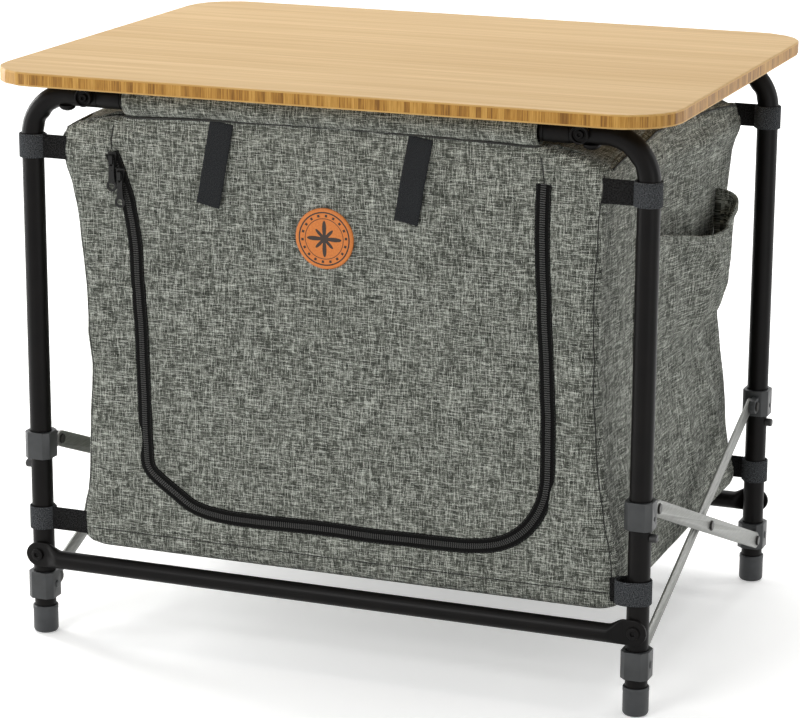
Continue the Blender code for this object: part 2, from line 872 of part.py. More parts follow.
def rail_screw(sx, sy):
    """A pan head screw through the front rail's ear into the leg's wall."""
    r, h = screw_head_diameter / 2, screw_head_height
    dish = screw_recess_diameter / 2
    start = rail_y + ear_thickness / 2 - bury / 2
    profile = [(0, h / 2), (dish, h / 2), (dish, h), (r - h / 2, h), (r, h / 2), (r, 0),
               (screw_shank_diameter / 2, 0), (screw_shank_diameter / 2, -screw_shank_length),
               (0, -screw_shank_length)]
    return turned(profile, (0, sy, 0), (sx * leg_x, sy * start, ear_screw_height))


def rail_rivet(sx, sy):
    """The rivet from the rail's ear right through the rear leg; its bore is cut later."""
    low = leg_y - tube_radius - touch_gap
    high = rail_y + ear_thickness / 2 - bury / 2
    head, shank, t = screw_head_diameter / 2, screw_shank_diameter / 2, rivet_head_height
    profile = [(0, high + t), (head - t / 2, high + t), (head, high + t / 2), (head, high),
               (shank, high), (shank, low), (head, low), (head, low - t / 2), (head - t / 2, low - t),
               (0, low - t)]
    return turned(profile, (0, sy, 0), (sx * leg_x, 0, ear_screw_height))


def button(name, sx, sy, body):
    """A sprung stud that stands out of the leg under its sliding collar."""
    r = button_diameter / 2
    tip = tube_radius + button_reach
    edge = r / 4
    flange, low = button_flange_diameter / 2, button_flange_start
    high = low + button_flange_thickness
    profile = [(0, tip), (r - edge, tip), (r, tip - edge), (r, high), (flange, high), (flange, low), (0, low)]
    stud = turned(profile, (sx, 0, 0), (sx * leg_x, sy * leg_y, button_height), rivet_sides)
    return link(stud, name, black_plastic(), body)


def strap_shape(sx, sy, z):
    """A strap round one leg with its tail sewn to the edge of the cloth."""
    inner = tube_radius + strap_play
    outer = inner + strap_thickness
    x, y = sx * leg_x, sy * leg_y
    loop = flat_shape([circle(outer, sides=tube_sides), circle(inner, sides=tube_sides)],
                      strap_width, "XY", (x, y, z))
    cloth_edge = body_drift(z) + sx * (body_half(z) - strap_seam)
    root = x - sx * (outer - strap_thickness / 2)
    tail = [(cloth_edge, -strap_thickness / 2), (root, -strap_thickness / 2),
            (root, strap_thickness / 2), (cloth_edge, strap_thickness / 2)]
    if sx > 0:
        tail.reverse()
    band = flat_shape([tail], strap_width, "XY", (0, sy * cloth_y, z))
    return as_mesh(united(loop, band))


def straps(sy):
    return [strap_shape(sx, sy, z) for z in (upper_strap_height, lower_strap_height) for sx in (-1, 1)]


# Cloth panels

def side_panel(name, sx):
    """A side of the cabinet between the front and back cloth."""
    reach = cloth_y - cloth_thickness / 2 - touch_gap
    low, high = body_floor, hem_height - cloth_thickness

    def place_at(u, v):
        z = low + (high - low) * v
        return (body_drift(z) + sx * (body_half(z) - cloth_thickness / 2), reach * (2 * u - 1), z)
    panel = cloth_sheet(2, 12, place_at, cloth_thickness, 0)
    return link(round_shading(panel), name, melange_cloth())


def level_panel(name, z):
    """The cloth top or floor between the four upright cloths."""
    half = body_half(z) - cloth_thickness - touch_gap
    drift = body_drift(z)
    reach = cloth_y - cloth_thickness / 2 - touch_gap
    outline = [(drift - half, -reach), (drift + half, -reach), (drift + half, reach), (drift - half, reach)]
    panel = flat_shape([outline], cloth_thickness, "XY", (0, 0, z + cloth_thickness / 2))
    return link(panel, name, melange_cloth())


def pocket(name):
    """The right side's pocket: a cloth that gapes at its mouth."""
    def place_at(u, v):
        y = pocket_front + (pocket_back - pocket_front) * u
        bulge = math.sin(math.pi * u) ** 0.8
        z = pocket_floor + (pocket_mouth - pocket_sag * bulge - pocket_floor) * v
        out = pocket_floor_reach * (1 - v) + pocket_gape * v
        x = body_drift(z) + body_half(z) + touch_gap + out * bulge
        return (x, y, z)
    cloth = cloth_sheet(12, 4, place_at, pocket_cloth, 1)
    return link(round_shading(cloth), name, melange_cloth())


def door_zip(name):
    """The U of zip tape between the door and the front cloth."""
    reach = zip_tape_width / 2
    outline = zip_run(reach) + list(reversed(zip_run(-reach)))
    tape = flat_shape([outline], cloth_thickness, "XZ", (0, -cloth_y, 0))
    return link(tape, name, webbing())


def door_panel(name, body):
    reach = zip_tape_width / 2 + touch_gap
    outline = door_edge(-reach, -touch_gap, door_hinge_height - touch_gap)
    panel = flat_shape([outline], cloth_thickness, "XZ", (0, -cloth_y, 0))
    return link(panel, name, melange_cloth(), body)


def slider_shape(z, shift):
    """A zip slider: a plate on the tape with a bridge for its pull."""
    y = -cloth_y - cloth_thickness / 2 - touch_gap
    x = zip_x(-1, z) + shift
    w, h, t = slider_width / 2, slider_length / 2, slider_thickness
    plate = [(-w, h), (-w * 0.8, -h), (w * 0.8, -h), (w, h)]
    body = flat_shape([plate], t / 2, "XZ", (x, y - t / 4, z))
    reach, bar = slider_bridge_reach, slider_bridge_bar
    outer = [(0, h * 0.8), (-reach, h * 0.8 - bar), (-reach, -h * 0.8 + bar), (0, -h * 0.8)]
    inner = [(0, h * 0.8 - bar), (-reach + bar, h * 0.8 - 2 * bar), (-reach + bar, -h * 0.8 + 2 * bar),
             (0, -h * 0.8 + bar)]
    loop = outer + list(reversed(inner))
    bridge = flat_shape([loop], slider_bridge_width, "YZ", (x, y - t / 2, z))
    base = [(-slider_bridge_width / 2, -h * 0.8), (slider_bridge_width / 2, -h * 0.8),
            (slider_bridge_width / 2, h * 0.8), (-slider_bridge_width / 2, h * 0.8)]
    foot = flat_shape([base], bar, "XZ", (x, y - t / 2, z))
    return as_mesh(united(body, foot, bridge))


def pull_pivot(z, shift):
    """Where a pull swings in its slider's bridge."""
    y = -cloth_y - cloth_thickness / 2 - touch_gap - slider_thickness / 2
    return (zip_x(-1, z) + shift, y - (slider_bridge_reach - slider_bridge_bar / 2) / 2, z)


def pull_shape(z, shift):
    """A pull tab with a slot round the bridge and a hole near its round end."""
    x, y, _ = pull_pivot(z, shift)
    w = pull_width / 2
    eye_half = slider_bridge_width / 2 + pass_clearance
    arm = pull_thickness / 2
    low = -pull_length + w
    edge = [(w, arm)] + [(-w, arm)] + arc((0, low), w, 180, 360, corner_steps)
    slot = [(-eye_half, -arm), (eye_half, -arm), (eye_half, -pull_width), (-eye_half, -pull_width)]
    hole = circle(pull_hole_diameter / 2, 0, low)
    return flat_shape([edge, slot, hole], pull_thickness, "XZ", (x, y, z))


def front_pieces_on_door(body):
    """The two ties and the round patch on the door's outside."""
    face = -cloth_y - cloth_thickness / 2 - touch_gap
    for side, sx in (("left", -1), ("right", 1)):
        half = tie_width / 2
        outline = [(half, 0), (-half, 0), (-half - tie_lean, -tie_length), (half - tie_lean, -tie_length)]
        place = (tie_offset + sx * tie_spread, face - tie_thickness / 2, tie_top)
        tie = flat_shape([outline], tie_thickness, "XZ", place)
        link(tie, "door_tie_" + side, webbing(), body)
    disc = flat_shape([circle(patch_diameter / 2, sides=24)], patch_thickness, "XZ",
                      (patch_offset, face - patch_thickness / 2, patch_height))
    link(disc, "door_patch", tan_leather(), body)


def board(body):
    """The bamboo top with the four pads that rest on the couplings."""
    outline = rounded_rectangle(board_width, board_depth, board_corner_radius)
    plate = flat_shape([outline], board_thickness, "XY", (0, 0, board_top - board_thickness / 2))
    edge = plate.modifiers.new("arris", "BEVEL")
    edge.width = board_edge_round
    edge.segments = 2
    edge.limit_method = "ANGLE"
    edge.angle_limit = math.radians(60)
    plate = as_mesh(plate)
    underside = board_top - board_thickness
    rest = top_rail_height + coupling_diameter / 2 + touch_gap
    for sx in (-1, 1):
        for sy in (-1, 1):
            x = sx * (coupling_shoulder_x + coupling_end_x) / 2
            middle = (underside + bury + rest) / 2
            united(plate, flat_shape([rounded_rectangle(pad_width, pad_depth, pad_width / 4, 2)],
                                     underside + bury - rest, "XY", (x, sy * leg_y, middle)))
    link(round_shading(as_mesh(plate)), "bamboo_board", bamboo(), body)


def base_board(body):
    """The stiff floor, hinged along its top front edge, that lifts as the frame folds."""
    z = base_hinge_z - base_thickness / 2
    drift = body_drift(z)
    half = body_half(z) - cloth_thickness - base_side_gap
    outline = [(drift - half, 0), (drift + half, 0), (drift + half, base_depth), (drift - half, base_depth)]
    plate = flat_shape([outline], base_thickness, "XY", (0, base_hinge_y, z))
    link(plate, "base_board", melange_cloth(), body)


def build_bodies():
    low, high = lower_collar_height, upper_collar_height
    middle = (low + high) / 2
    for side, sx in (("left", -1), ("right", 1)):
        inner_x = sx * leg_x + inner_bar_end - bar_thickness / 2
        outer_x = sx * leg_x + outer_bar_start + bar_thickness / 2
        body_empty("inner_bar_" + side, (inner_x, -pivot_y, low))
        body_empty("outer_bar_" + side, (outer_x, 0, middle))
        body_empty("front_collar_" + side, (outer_x, -pivot_y, high))
        body_empty("rear_collar_" + side, (inner_x, pivot_y, high))
        for place, sy in (("front", -1), ("rear", 1)):
            body_empty(place + "_button_" + side, (sx * leg_x, sy * leg_y, button_height))
    body_empty("rear_frame", (leg_x + outer_bar_start + bar_thickness / 2, pivot_y, low))
    body_empty("board", (0, 0, board_top - board_thickness))
    body_empty("door", (0, -cloth_y, door_hinge_height))
    body_empty("base_board", (0, base_hinge_y, base_hinge_z))
    for name, z, shift in zip(("upper", "lower"), slider_heights, slider_shifts):
        body_empty("zip_pull_" + name, pull_pivot(z, shift))


def build_frame(place, sy, body):
    lug_start = inner_lug_start if sy < 0 else outer_lug_start
    pivot = inner_pivot if sy < 0 else outer_pivot
    for side, sx in (("left", -1), ("right", 1)):
        leg(place + "_leg_" + side, sx, sy, body)
        link(foot_shape(sx, sy), place + "_foot_" + side, black_plastic(), body)
        link(coupling_shape(sx, sy), place + "_coupling_" + side, black_plastic(), body)
        collar = collar_shape(sx, sy, lower_collar_height, lug_start, True)
        link(collar, place + "_fixed_collar_" + side, black_plastic(), body)
        rivet = pivot(sx, sy, lower_collar_height)
        link(rivet, place + "_lower_pivot_" + side, dark_steel(), body)
    top_rail(place + "_top_rail", sy, body)
    bottom_rail(place + "_bottom_rail", sy, body)


def build_braces():
    for side, sx in (("left", -1), ("right", 1)):
        brace_bar("inner_brace_bar_" + side, sx, False, "inner_bar_" + side)
        brace_bar("outer_brace_bar_" + side, sx, True, "outer_bar_" + side)
        brace_centre("brace_centre_rivet_" + side, sx, "inner_bar_" + side)
        for place, sy, start, pivot in (("front", -1, outer_lug_start, outer_pivot),
                                        ("rear", 1, inner_lug_start, inner_pivot)):
            body = place + "_collar_" + side
            collar = collar_shape(sx, sy, upper_collar_height, start, False)
            link(collar, place + "_sliding_collar_" + side, black_plastic(), body)
            rivet = pivot(sx, sy, upper_collar_height)
            link(rivet, place + "_upper_pivot_" + side, dark_steel(), body)
            button(place + "_button_" + side, sx, sy, place + "_button_" + side)


def build_cloth():
    reach = zip_tape_width / 2 + touch_gap
    opening = door_edge(reach, touch_gap, door_hinge_height + door_hinge_room)
    cloth_plate("front_cloth", -1, [opening])
    cloth_plate("back_cloth", 1, [], "rear_frame")
    door_zip("door_zip")
    door_panel("door", "door")
    front_pieces_on_door("door")
    for name, z, shift in zip(("upper", "lower"), slider_heights, slider_shifts):
        link(slider_shape(z, shift), "zip_slider_" + name, dark_steel())
        link(pull_shape(z, shift), "zip_pull_" + name, dark_steel(), "zip_pull_" + name)
    side_panel("side_cloth_left", -1)
    side_panel("side_cloth_right", 1)
    level_panel("top_cloth", hem_height - 2 * cloth_thickness)
    level_panel("floor_cloth", body_floor)
    pocket("side_pocket")


build_bodies()
build_frame("front", -1, None)
build_frame("rear", 1, "rear_frame")
build_braces()
build_cloth()
board("board")
base_board("base_board")
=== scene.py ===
"""Looks of the folding chuck box: melange cloth hung in a black tube frame under a bamboo board.

Lengths are in metres. +X is right and +Y is back, seen from someone who faces the door."""
import math
from functools import partial

import bmesh
import bpy
import numpy as np
from mathutils import Matrix, Vector


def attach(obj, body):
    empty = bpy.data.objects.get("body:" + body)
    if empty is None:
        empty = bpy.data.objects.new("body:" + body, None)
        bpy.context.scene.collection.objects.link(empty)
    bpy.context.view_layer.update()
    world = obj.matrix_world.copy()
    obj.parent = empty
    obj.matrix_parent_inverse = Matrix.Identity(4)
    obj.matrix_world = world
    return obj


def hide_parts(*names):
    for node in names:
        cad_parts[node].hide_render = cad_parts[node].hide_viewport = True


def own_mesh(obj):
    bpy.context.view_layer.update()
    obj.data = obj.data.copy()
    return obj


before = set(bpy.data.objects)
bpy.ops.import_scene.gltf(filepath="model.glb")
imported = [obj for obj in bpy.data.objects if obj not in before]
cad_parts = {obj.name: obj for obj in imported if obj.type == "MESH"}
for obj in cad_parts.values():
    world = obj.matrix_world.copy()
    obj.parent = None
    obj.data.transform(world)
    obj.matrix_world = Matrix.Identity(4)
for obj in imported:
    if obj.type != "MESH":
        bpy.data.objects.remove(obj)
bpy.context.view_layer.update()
scene = bpy.context.scene

# ---------------------------------------------------------------- sizes shared with the CAD part
LEG_X, LEG_Y = 0.2745, 0.1865
TUBE_R, THIN_R, BEND_R = 0.0095, 0.008, 0.038
RAIL_Z = 0.486
EAR_Y, EAR_Z, BOTTOM_RAIL_Z = 0.1977, 0.0746, 0.072
CLOTH_Y = 0.190
FLOOR_Z, SEAM_Z = 0.0885, 0.4745
STRAP_HIGH, STRAP_LOW, STRAP_W = 0.4405, 0.1075, 0.0205
ENDS = ((-1, "front", "front_frame"), (1, "rear", "rear_frame"))
SIDES = ((-1, "left"), (1, "right"))

# ---------------------------------------------------------------- sizes of the dressed cloth
CLOTH_T = 0.0012
ZIP_END = 0.440
SEAM_X = 0.184
TOP_Z = 0.4718
SIDE_Y = CLOTH_Y - 0.0085

# the cloth's left and right edges at the front and at the back: height, x
LEFT_EDGE = [(.0885, -.2235), (.0925, -.2303), (.096, -.2325), (.100, -.2345), (.107, -.2350), (.116, -.2346),
             (.128, -.2324), (.136, -.2302), (.151, -.2289), (.1655, -.2285), (.199, -.2257), (.226, -.2241),
             (.253, -.2226), (.266, -.2241), (.280, -.2262), (.306, -.2262), (.333, -.2282), (.359, -.2311),
             (.385, -.2335), (.411, -.2376), (.4236, -.2430), (.436, -.2455), (.451, -.2462), (.4574, -.2394),
             (.4622, -.2316), (.468, -.2107), (.4745, -.1860)]
RIGHT_EDGE = [(.0885, .2480), (.0915, .2535), (.096, .2570), (.107, .2560), (.127, .2545), (.154, .2490),
              (.190, .2425), (.235, .2378), (.290, .2352), (.339, .2348), (.385, .2352), (.415, .2362),
              (.427, .2380), (.436, .2405), (.451, .2415), (.4574, .2390), (.4622, .2310), (.468, .2107),
              (.4745, .1860)]
BACK_RIGHT = [(.0885, .2480), (.096, .2540), (.107, .2545), (.127, .2490), (.150, .2455), (.173, .2440),
              (.196, .2415), (.2186, .2378), (.2413, .2352), (.2526, .2335), (.290, .2330), (.330, .2360),
              (.377, .2400), (.410, .2430), (.421, .2460), (.4276, .2492), (.435, .2500), (.442, .2475),
              (.449, .2410), (.453, .2318), (.458, .2210), (.466, .2030), (.4745, .1860)]
BACK_LEFT = [(.0885, -.2180), (.096, -.2290), (.107, -.2330), (.127, -.2290), (.190, -.2215), (.290, -.2200),
             (.385, -.2300), (.427, -.2400), (.436, -.2440), (.451, -.2450), (.4574, -.2394), (.4622, -.2316),
             (.468, -.2107), (.4745, -.1860)]
# the zip's upright runs: height, x. Its foot, from left to right: x, height
ZIP_LEFT = [(.129, -.1700), (.177, -.1690), (.243, -.1722), (.300, -.1740), (.357, -.1770), (.380, -.1795),
            (.400, -.1832), (.422, -.1900), (.440, -.1972), (.462, -.1950), (.4745, -.1840)]
ZIP_RIGHT = [(.129, .1950), (.177, .1950), (.243, .1945), (.300, .1916), (.357, .1887), (.400, .1872),
             (.429, .1872), (.440, .1884), (.455, .1870), (.4745, .1840)]
ZIP_FOOT = [(-.1688, .170), (-.1655, .1625), (-.158, .156), (-.142, .1445), (-.124, .1335), (-.100, .1288),
            (-.070, .1278), (-.035, .1286), (0, .1292), (.035, .1284), (.070, .1286), (.105, .1290),
            (.130, .1304), (.155, .1355), (.174, .1470), (.186, .1620), (.1925, .1770)]
# the seam under the sleeve: x, height
SLEEVE_SEAM = [(-.188, .4705), (-.140, .4730), (-.095, .4742), (.012, .4756), (.082, .4746), (.140, .4735),
               (.188, .4722)]
# the pocket's mouth: y, height
POCKET_MOUTH = [(-.084, .3775), (-.060, .3762), (-.041, .3742), (-.020, .3705), (0, .3665), (.025, .3610),
                (.049, .3576), (.075, .3558), (.095, .3552), (.106, .3553), (.114, .3560), (.120, .3590),
                (.125, .3660), (.129, .3725), (.133, .3770), (.1385, .3810)]

# folds: start, end, half width, height. On the front and back in x and z, on the sides in y and z
FRONT_FOLDS = [
    ((-.238, .440), (-.150, .462), .006, .0022), ((-.236, .436), (-.190, .400), .007, .0018),
    ((-.234, .425), (-.214, .330), .006, .0020), ((.236, .440), (.205, .385), .007, .0020),
    ((.236, .444), (.190, .463), .006, .0018), ((.225, .380), (.214, .200), .010, .0018),
    ((-.215, .130), (-.180, .200), .009, .0022), ((.240, .118), (.205, .190), .010, .0022),
    ((-.130, .455), (-.165, .330), .012, .0016), ((.060, .470), (.130, .330), .016, .0014),
    ((.150, .420), (.165, .220), .012, .0014), ((-.090, .300), (.090, .318), .014, .0010),
    ((-.100, .170), (.120, .160), .016, .0012), ((-.205, .112), (.235, .109), .004, .0010)]
BACK_FOLDS = [((.238, .440), (.18, .38), .008, .002), ((-.238, .440), (-.18, .38), .008, .002),
              ((.23, .12), (.18, .20), .01, .0024), ((-.21, .12), (-.17, .20), .01, .0024)]
SIDE_FOLDS = [
    ((-.175, .430), (-.120, .300), .010, .0030), ((-.170, .120), (-.110, .230), .012, .0030),
    ((.175, .425), (.120, .300), .010, .0026), ((.170, .120), (.110, .230), .012, .0030),
    ((-.060, .200), (-.080, .110), .010, .0020), ((.050, .220), (.075, .110), .012, .0022)]
POCKET_FOLDS = [((.120, .300), (.000, .366), .009, .0040), ((.110, .275), (.050, .345), .007, .0028),
                ((.098, .330), (.122, .372), .008, -.0036)]


# ---------------------------------------------------------------- colours, settings and nodes
def rgb(code):
    """A hex sRGB colour as a linear RGBA tuple."""
    parts = [int(code[i:i + 2], 16) / 255 for i in (1, 3, 5)]
    return tuple(c / 12.92 if c <= 0.04045 else ((c + 0.055) / 1.055) ** 2.4 for c in parts) + (1.0,)


def given(thing, **settings):
    """The thing, with its settings made."""
    for word, value in settings.items():
        setattr(thing, word, value)
    return thing


def fill(node, values=(), **named):
    """Set or link a node's sockets, in their order or by name. None leaves a socket as it is."""
    pairs = list(zip(node.inputs, values)) + [(node.inputs[k.replace("_", " ")], v) for k, v in named.items()]
    for socket, value in pairs:
        if isinstance(value, bpy.types.NodeSocket):
            node.id_data.links.new(value, socket)
        elif value is not None:
            socket.default_value = rgb(value) if isinstance(value, str) and value[0] == "#" else value


def add(tree, kind, *values, out=0, stops=(), **words):
    """Add a node and return one of its outputs. A kind in capitals is what a maths node does. Words are
    the node's properties or its sockets' names."""
    if kind.isupper():
        kind, words["operation"] = "ShaderNodeMath", kind
    node = tree.nodes.new(kind)
    for word in [w for w in words if hasattr(node, w)]:
        setattr(node, word, words.pop(word))
    for index, (place, value) in enumerate(stops):
        steps = node.color_ramp.elements
        step = steps[index] if index < 2 else steps.new(place)
        step.position = place
        step.color = rgb(value) if isinstance(value, str) else (value, value, value, 1)
    fill(node, values, **words)
    return node.outputs[out]


NOISE, RAMP, MAP = "ShaderNodeTexNoise", "ShaderNodeValToRGB", "ShaderNodeMapping"
MIX, BUMP, SPLIT, JOIN = "ShaderNodeMix", "ShaderNodeBump", "ShaderNodeSeparateXYZ", "ShaderNodeCombineXYZ"
PLACE, ATTRIBUTE, CHANCE = "ShaderNodeTexCoord", "ShaderNodeAttribute", "ShaderNodeTexWhiteNoise"
OBJECT = 3  # the output of PLACE that holds Object coordinates
VECTOR = 1  # the output of ATTRIBUTE that holds a vector
GAP = (None,) * 5  # a Mix node's sockets between its factor and its two colours


def new_material(name, **sockets):
    """A named material, what adds nodes to it, and its shader with what is the same all over set on it."""
    made = bpy.data.materials.new(name)
    made.use_nodes = True
    shader = made.node_tree.nodes["Principled BSDF"]
    fill(shader, **sockets)
    return made, partial(add, made.node_tree), shader


# ---------------------------------------------------------------- materials
def melange_cloth(name, on_cloth=True):
    """600-denier polyester in plain weave. Dark and pale yarns lie mixed along both threads, so the eye
    sees grey-green with short dashes across and down. The real threads are about 0.4 mm apart; they are
    drawn at 0.58 mm to show."""
    pitch = 0.00058
    made, put, shader = new_material(name, Roughness=0.9, Specular_IOR_Level=0.2, Sheen_Weight=0.05,
                                     Sheen_Roughness=0.5)
    place = put(ATTRIBUTE, out=VECTOR, attribute_name="cloth") if on_cloth else put(PLACE, out=OBJECT)
    x, y, _ = put(SPLIT, place).node.outputs
    across, up = put("DIVIDE", x, pitch), put("DIVIDE", y, pitch)
    warp_thread, weft_thread = put("FLOOR", across), put("FLOOR", up)
    # the dashes are about 10 mm long, and each thread has its own
    weft_way = put(JOIN, put("MULTIPLY", x, 85.0), put("MULTIPLY", weft_thread, 7.13), 0.0)
    warp_way = put(JOIN, put("MULTIPLY", warp_thread, 7.13), put("MULTIPLY", y, 105.0), 4.7)
    weft = put(NOISE, weft_way, Scale=1.0, Detail=2.0, Roughness=0.7)
    warp = put(NOISE, warp_way, Scale=1.0, Detail=2.0, Roughness=0.7)
    weft_over = put("FLOORED_MODULO", put("ADD", warp_thread, weft_thread), 2.0)
    yarn = put(MIX, weft_over, None, warp, weft)
    # a grain of 0.5 mm, clouds of 15 mm and slubs 0.7 mm thick and 25 mm long
    grain = put(NOISE, place, Scale=2200.0, Detail=1.0, Roughness=0.5)
    cloud = put(NOISE, put(MAP, place, Scale=(60, 75, 1)), Scale=1.0, Detail=2.0, Roughness=0.5)
    slub = put(NOISE, put(MAP, place, Scale=(40, 1500, 1)), Scale=1.0, Detail=2.0, Roughness=0.5)
    tone = put("MULTIPLY_ADD", yarn, 0.68, put("MULTIPLY", grain, 0.14))
    tone = put("MULTIPLY_ADD", cloud, 0.02, tone)
    tone = put("MULTIPLY_ADD", slub, 0.16, tone)
    colour = put(RAMP, tone, stops=((0.405, "#20221d"), (0.60, "#d6d9cf"), (0.506, "#5f625a")))
    ridge = put(MIX, weft_over, None, put("PINGPONG", across, 0.5), put("PINGPONG", up, 0.5))
    relief = put("MULTIPLY_ADD", tone, 2.5, ridge)
    fill(shader, Base_Color=colour, Normal=put(BUMP, Strength=0.55, Distance=0.0005, Height=relief))
    return made


def hook_tape(name, dark, light, fuzz_mm):
    """Woven hook-and-loop tape: a dull black ground, ribbed every 3 mm, with loops that catch a little
    light."""
    made, put, shader = new_material(name, Roughness=0.9, Specular_IOR_Level=0.12)
    place = put(ATTRIBUTE, out=VECTOR, attribute_name="cloth")
    fuzz = put(NOISE, place, Scale=1000.0 / fuzz_mm, Detail=3.0, Roughness=0.7)
    rib = put("ShaderNodeTexWave", place, out=1, bands_direction="DIAGONAL", Scale=330.0, Distortion=1.5,
              Detail=1.0)
    relief = put("MULTIPLY_ADD", fuzz, 2.0, rib)
    fill(shader, Base_Color=put(RAMP, fuzz, stops=((0.38, dark), (0.64, light))),
         Normal=put(BUMP, Strength=0.8, Distance=0.0008, Height=relief))
    return made


def powder_coat():
    """Black powder coat on steel tube: deep black, a soft gloss and orange peel about 1 mm across."""
    made, put, shader = new_material("black_powder_coat", Specular_IOR_Level=0.12)
    place = put(PLACE, out=OBJECT)
    peel = put(NOISE, place, Scale=900.0, Detail=2.0)
    tone = put(NOISE, place, Scale=40.0, Detail=2.0)
    fill(shader, Base_Color=put(RAMP, tone, stops=((0.3, "#080707"), (0.7, "#0f0d0c"))),
         Roughness=put(RAMP, tone, stops=((0.2, 0.37), (0.8, 0.42))),
         Normal=put(BUMP, Strength=0.12, Distance=0.0002, Height=peel))
    return made


def moulded(name, dark, light, roughness):
    """Glass-filled nylon or rubber with a fine spark finish, about 0.5 mm across, which spreads its gloss.
    Twisted thread gets the same grain."""
    made, put, shader = new_material(name, Roughness=roughness)
    place = put(PLACE, out=OBJECT)
    spark = put(NOISE, place, Scale=1800.0, Detail=2.0, Roughness=0.6)
    tone = put(NOISE, place, Scale=90.0, Detail=2.0)
    fill(shader, Base_Color=put(RAMP, tone, stops=((0.3, dark), (0.7, light))),
         Normal=put(BUMP, Strength=0.18, Distance=0.0002, Height=spark))
    return made


def strip_steel():
    """Silver-grey lacquered steel strip, with a faint grain 1 mm wide drawn along its length."""
    made, put, shader = new_material("grey_lacquered_strip", Metallic=0.8, Roughness=0.4)
    drawn = put(NOISE, put(MAP, put(PLACE, out=OBJECT), Scale=(900, 60, 900)), Scale=1.0, Detail=3.0)
    fill(shader, Base_Color=put(RAMP, drawn, stops=((0.3, "#7f807d"), (0.7, "#92938f"))))
    return made


def dark_metal(name, colour, roughness, metallic):
    """Blackened metal or a nylon coil, its gloss worn a little unevenly every 3 mm or so."""
    made, put, shader = new_material(name, Base_Color=colour, Metallic=metallic)
    tone = put(NOISE, put(PLACE, out=OBJECT), Scale=300.0, Detail=2.0)
    fill(shader, Roughness=put(RAMP, tone, stops=((0.2, roughness - 0.06), (0.8, roughness + 0.06))))
    return made


def bamboo():
    """Pressed bamboo under satin lacquer: face plies with long fibres along X, in lanes 18.5 mm wide, over
    a core of strips about 5 mm wide that stand on edge."""
    lane_width, strip_width = 0.0185, 0.0050
    core_middle, core_half, edge_middle, edge_half = 0.5039, 0.0043, 0.5040, 0.0056
    made, put, shader = new_material("lacquered_bamboo_ply", Specular_IOR_Level=0.35)
    place = put(PLACE, out=OBJECT)
    x, y, z = put(SPLIT, place).node.outputs
    # fibres about 2 mm wide and 140 mm long, streaks 9 mm wide, and clouds 125 mm wide
    fibre = put(NOISE, put(MAP, place, Scale=(7, 520, 520)), Scale=1.0, Detail=4.0, Roughness=0.6)
    streak = put(NOISE, put(MAP, place, Scale=(2.2, 110, 110)), Scale=1.0, Detail=3.0)
    cloud = put(NOISE, put(MAP, place, Scale=(1.5, 8, 8)), Scale=1.0, Detail=2.0)
    lane = put("FLOOR", put("DIVIDE", y, lane_width))
    tint = put(CHANCE, noise_dimensions="1D", W=lane)
    grain = put("MULTIPLY_ADD", fibre, 0.48, put("MULTIPLY", tint, 0.05))
    grain = put("MULTIPLY_ADD", streak, 0.33, grain)
    grain = put("MULTIPLY_ADD", cloud, 0.14, grain)
    face = put(RAMP, grain, stops=((0.36, "#b48e54"), (0.62, "#d2b17f"), (0.50, "#c3a16b")))
    strip = put("DIVIDE", put("ADD", x, y), strip_width)
    wander = put(NOISE, put(MAP, place, Scale=(60, 60, 2)), Scale=1.0, Detail=1.0)
    shade = put(CHANCE, noise_dimensions="1D", W=put("FLOOR", put("ADD", strip, wander)))
    upright = put(NOISE, put(MAP, place, Scale=(950, 950, 50)), Scale=1.0, Detail=3.0)
    core = put("MULTIPLY_ADD", upright, 0.72, put("MULTIPLY", shade, 0.28))
    core = put(RAMP, core, stops=((0.30, "#7d5217"), (0.70, "#c99a4c"), (0.48, "#ab7a2f")))
    ply = put(RAMP, fibre, stops=((0.3, "#bb8e48"), (0.7, "#cfa660")))
    is_core = put("COMPARE", z, core_middle, core_half)
    is_edge = put("COMPARE", z, edge_middle, edge_half)
    side = put(MIX, is_core, *GAP, ply, core, out=2, data_type="RGBA")
    colour = put(MIX, is_edge, *GAP, face, side, out=2, data_type="RGBA")
    fill(shader, Base_Color=colour, Roughness=put(RAMP, fibre, stops=((0.2, 0.42), (0.8, 0.54))),
         Normal=put(BUMP, Strength=0.06, Distance=0.0003, Height=fibre))
    return made


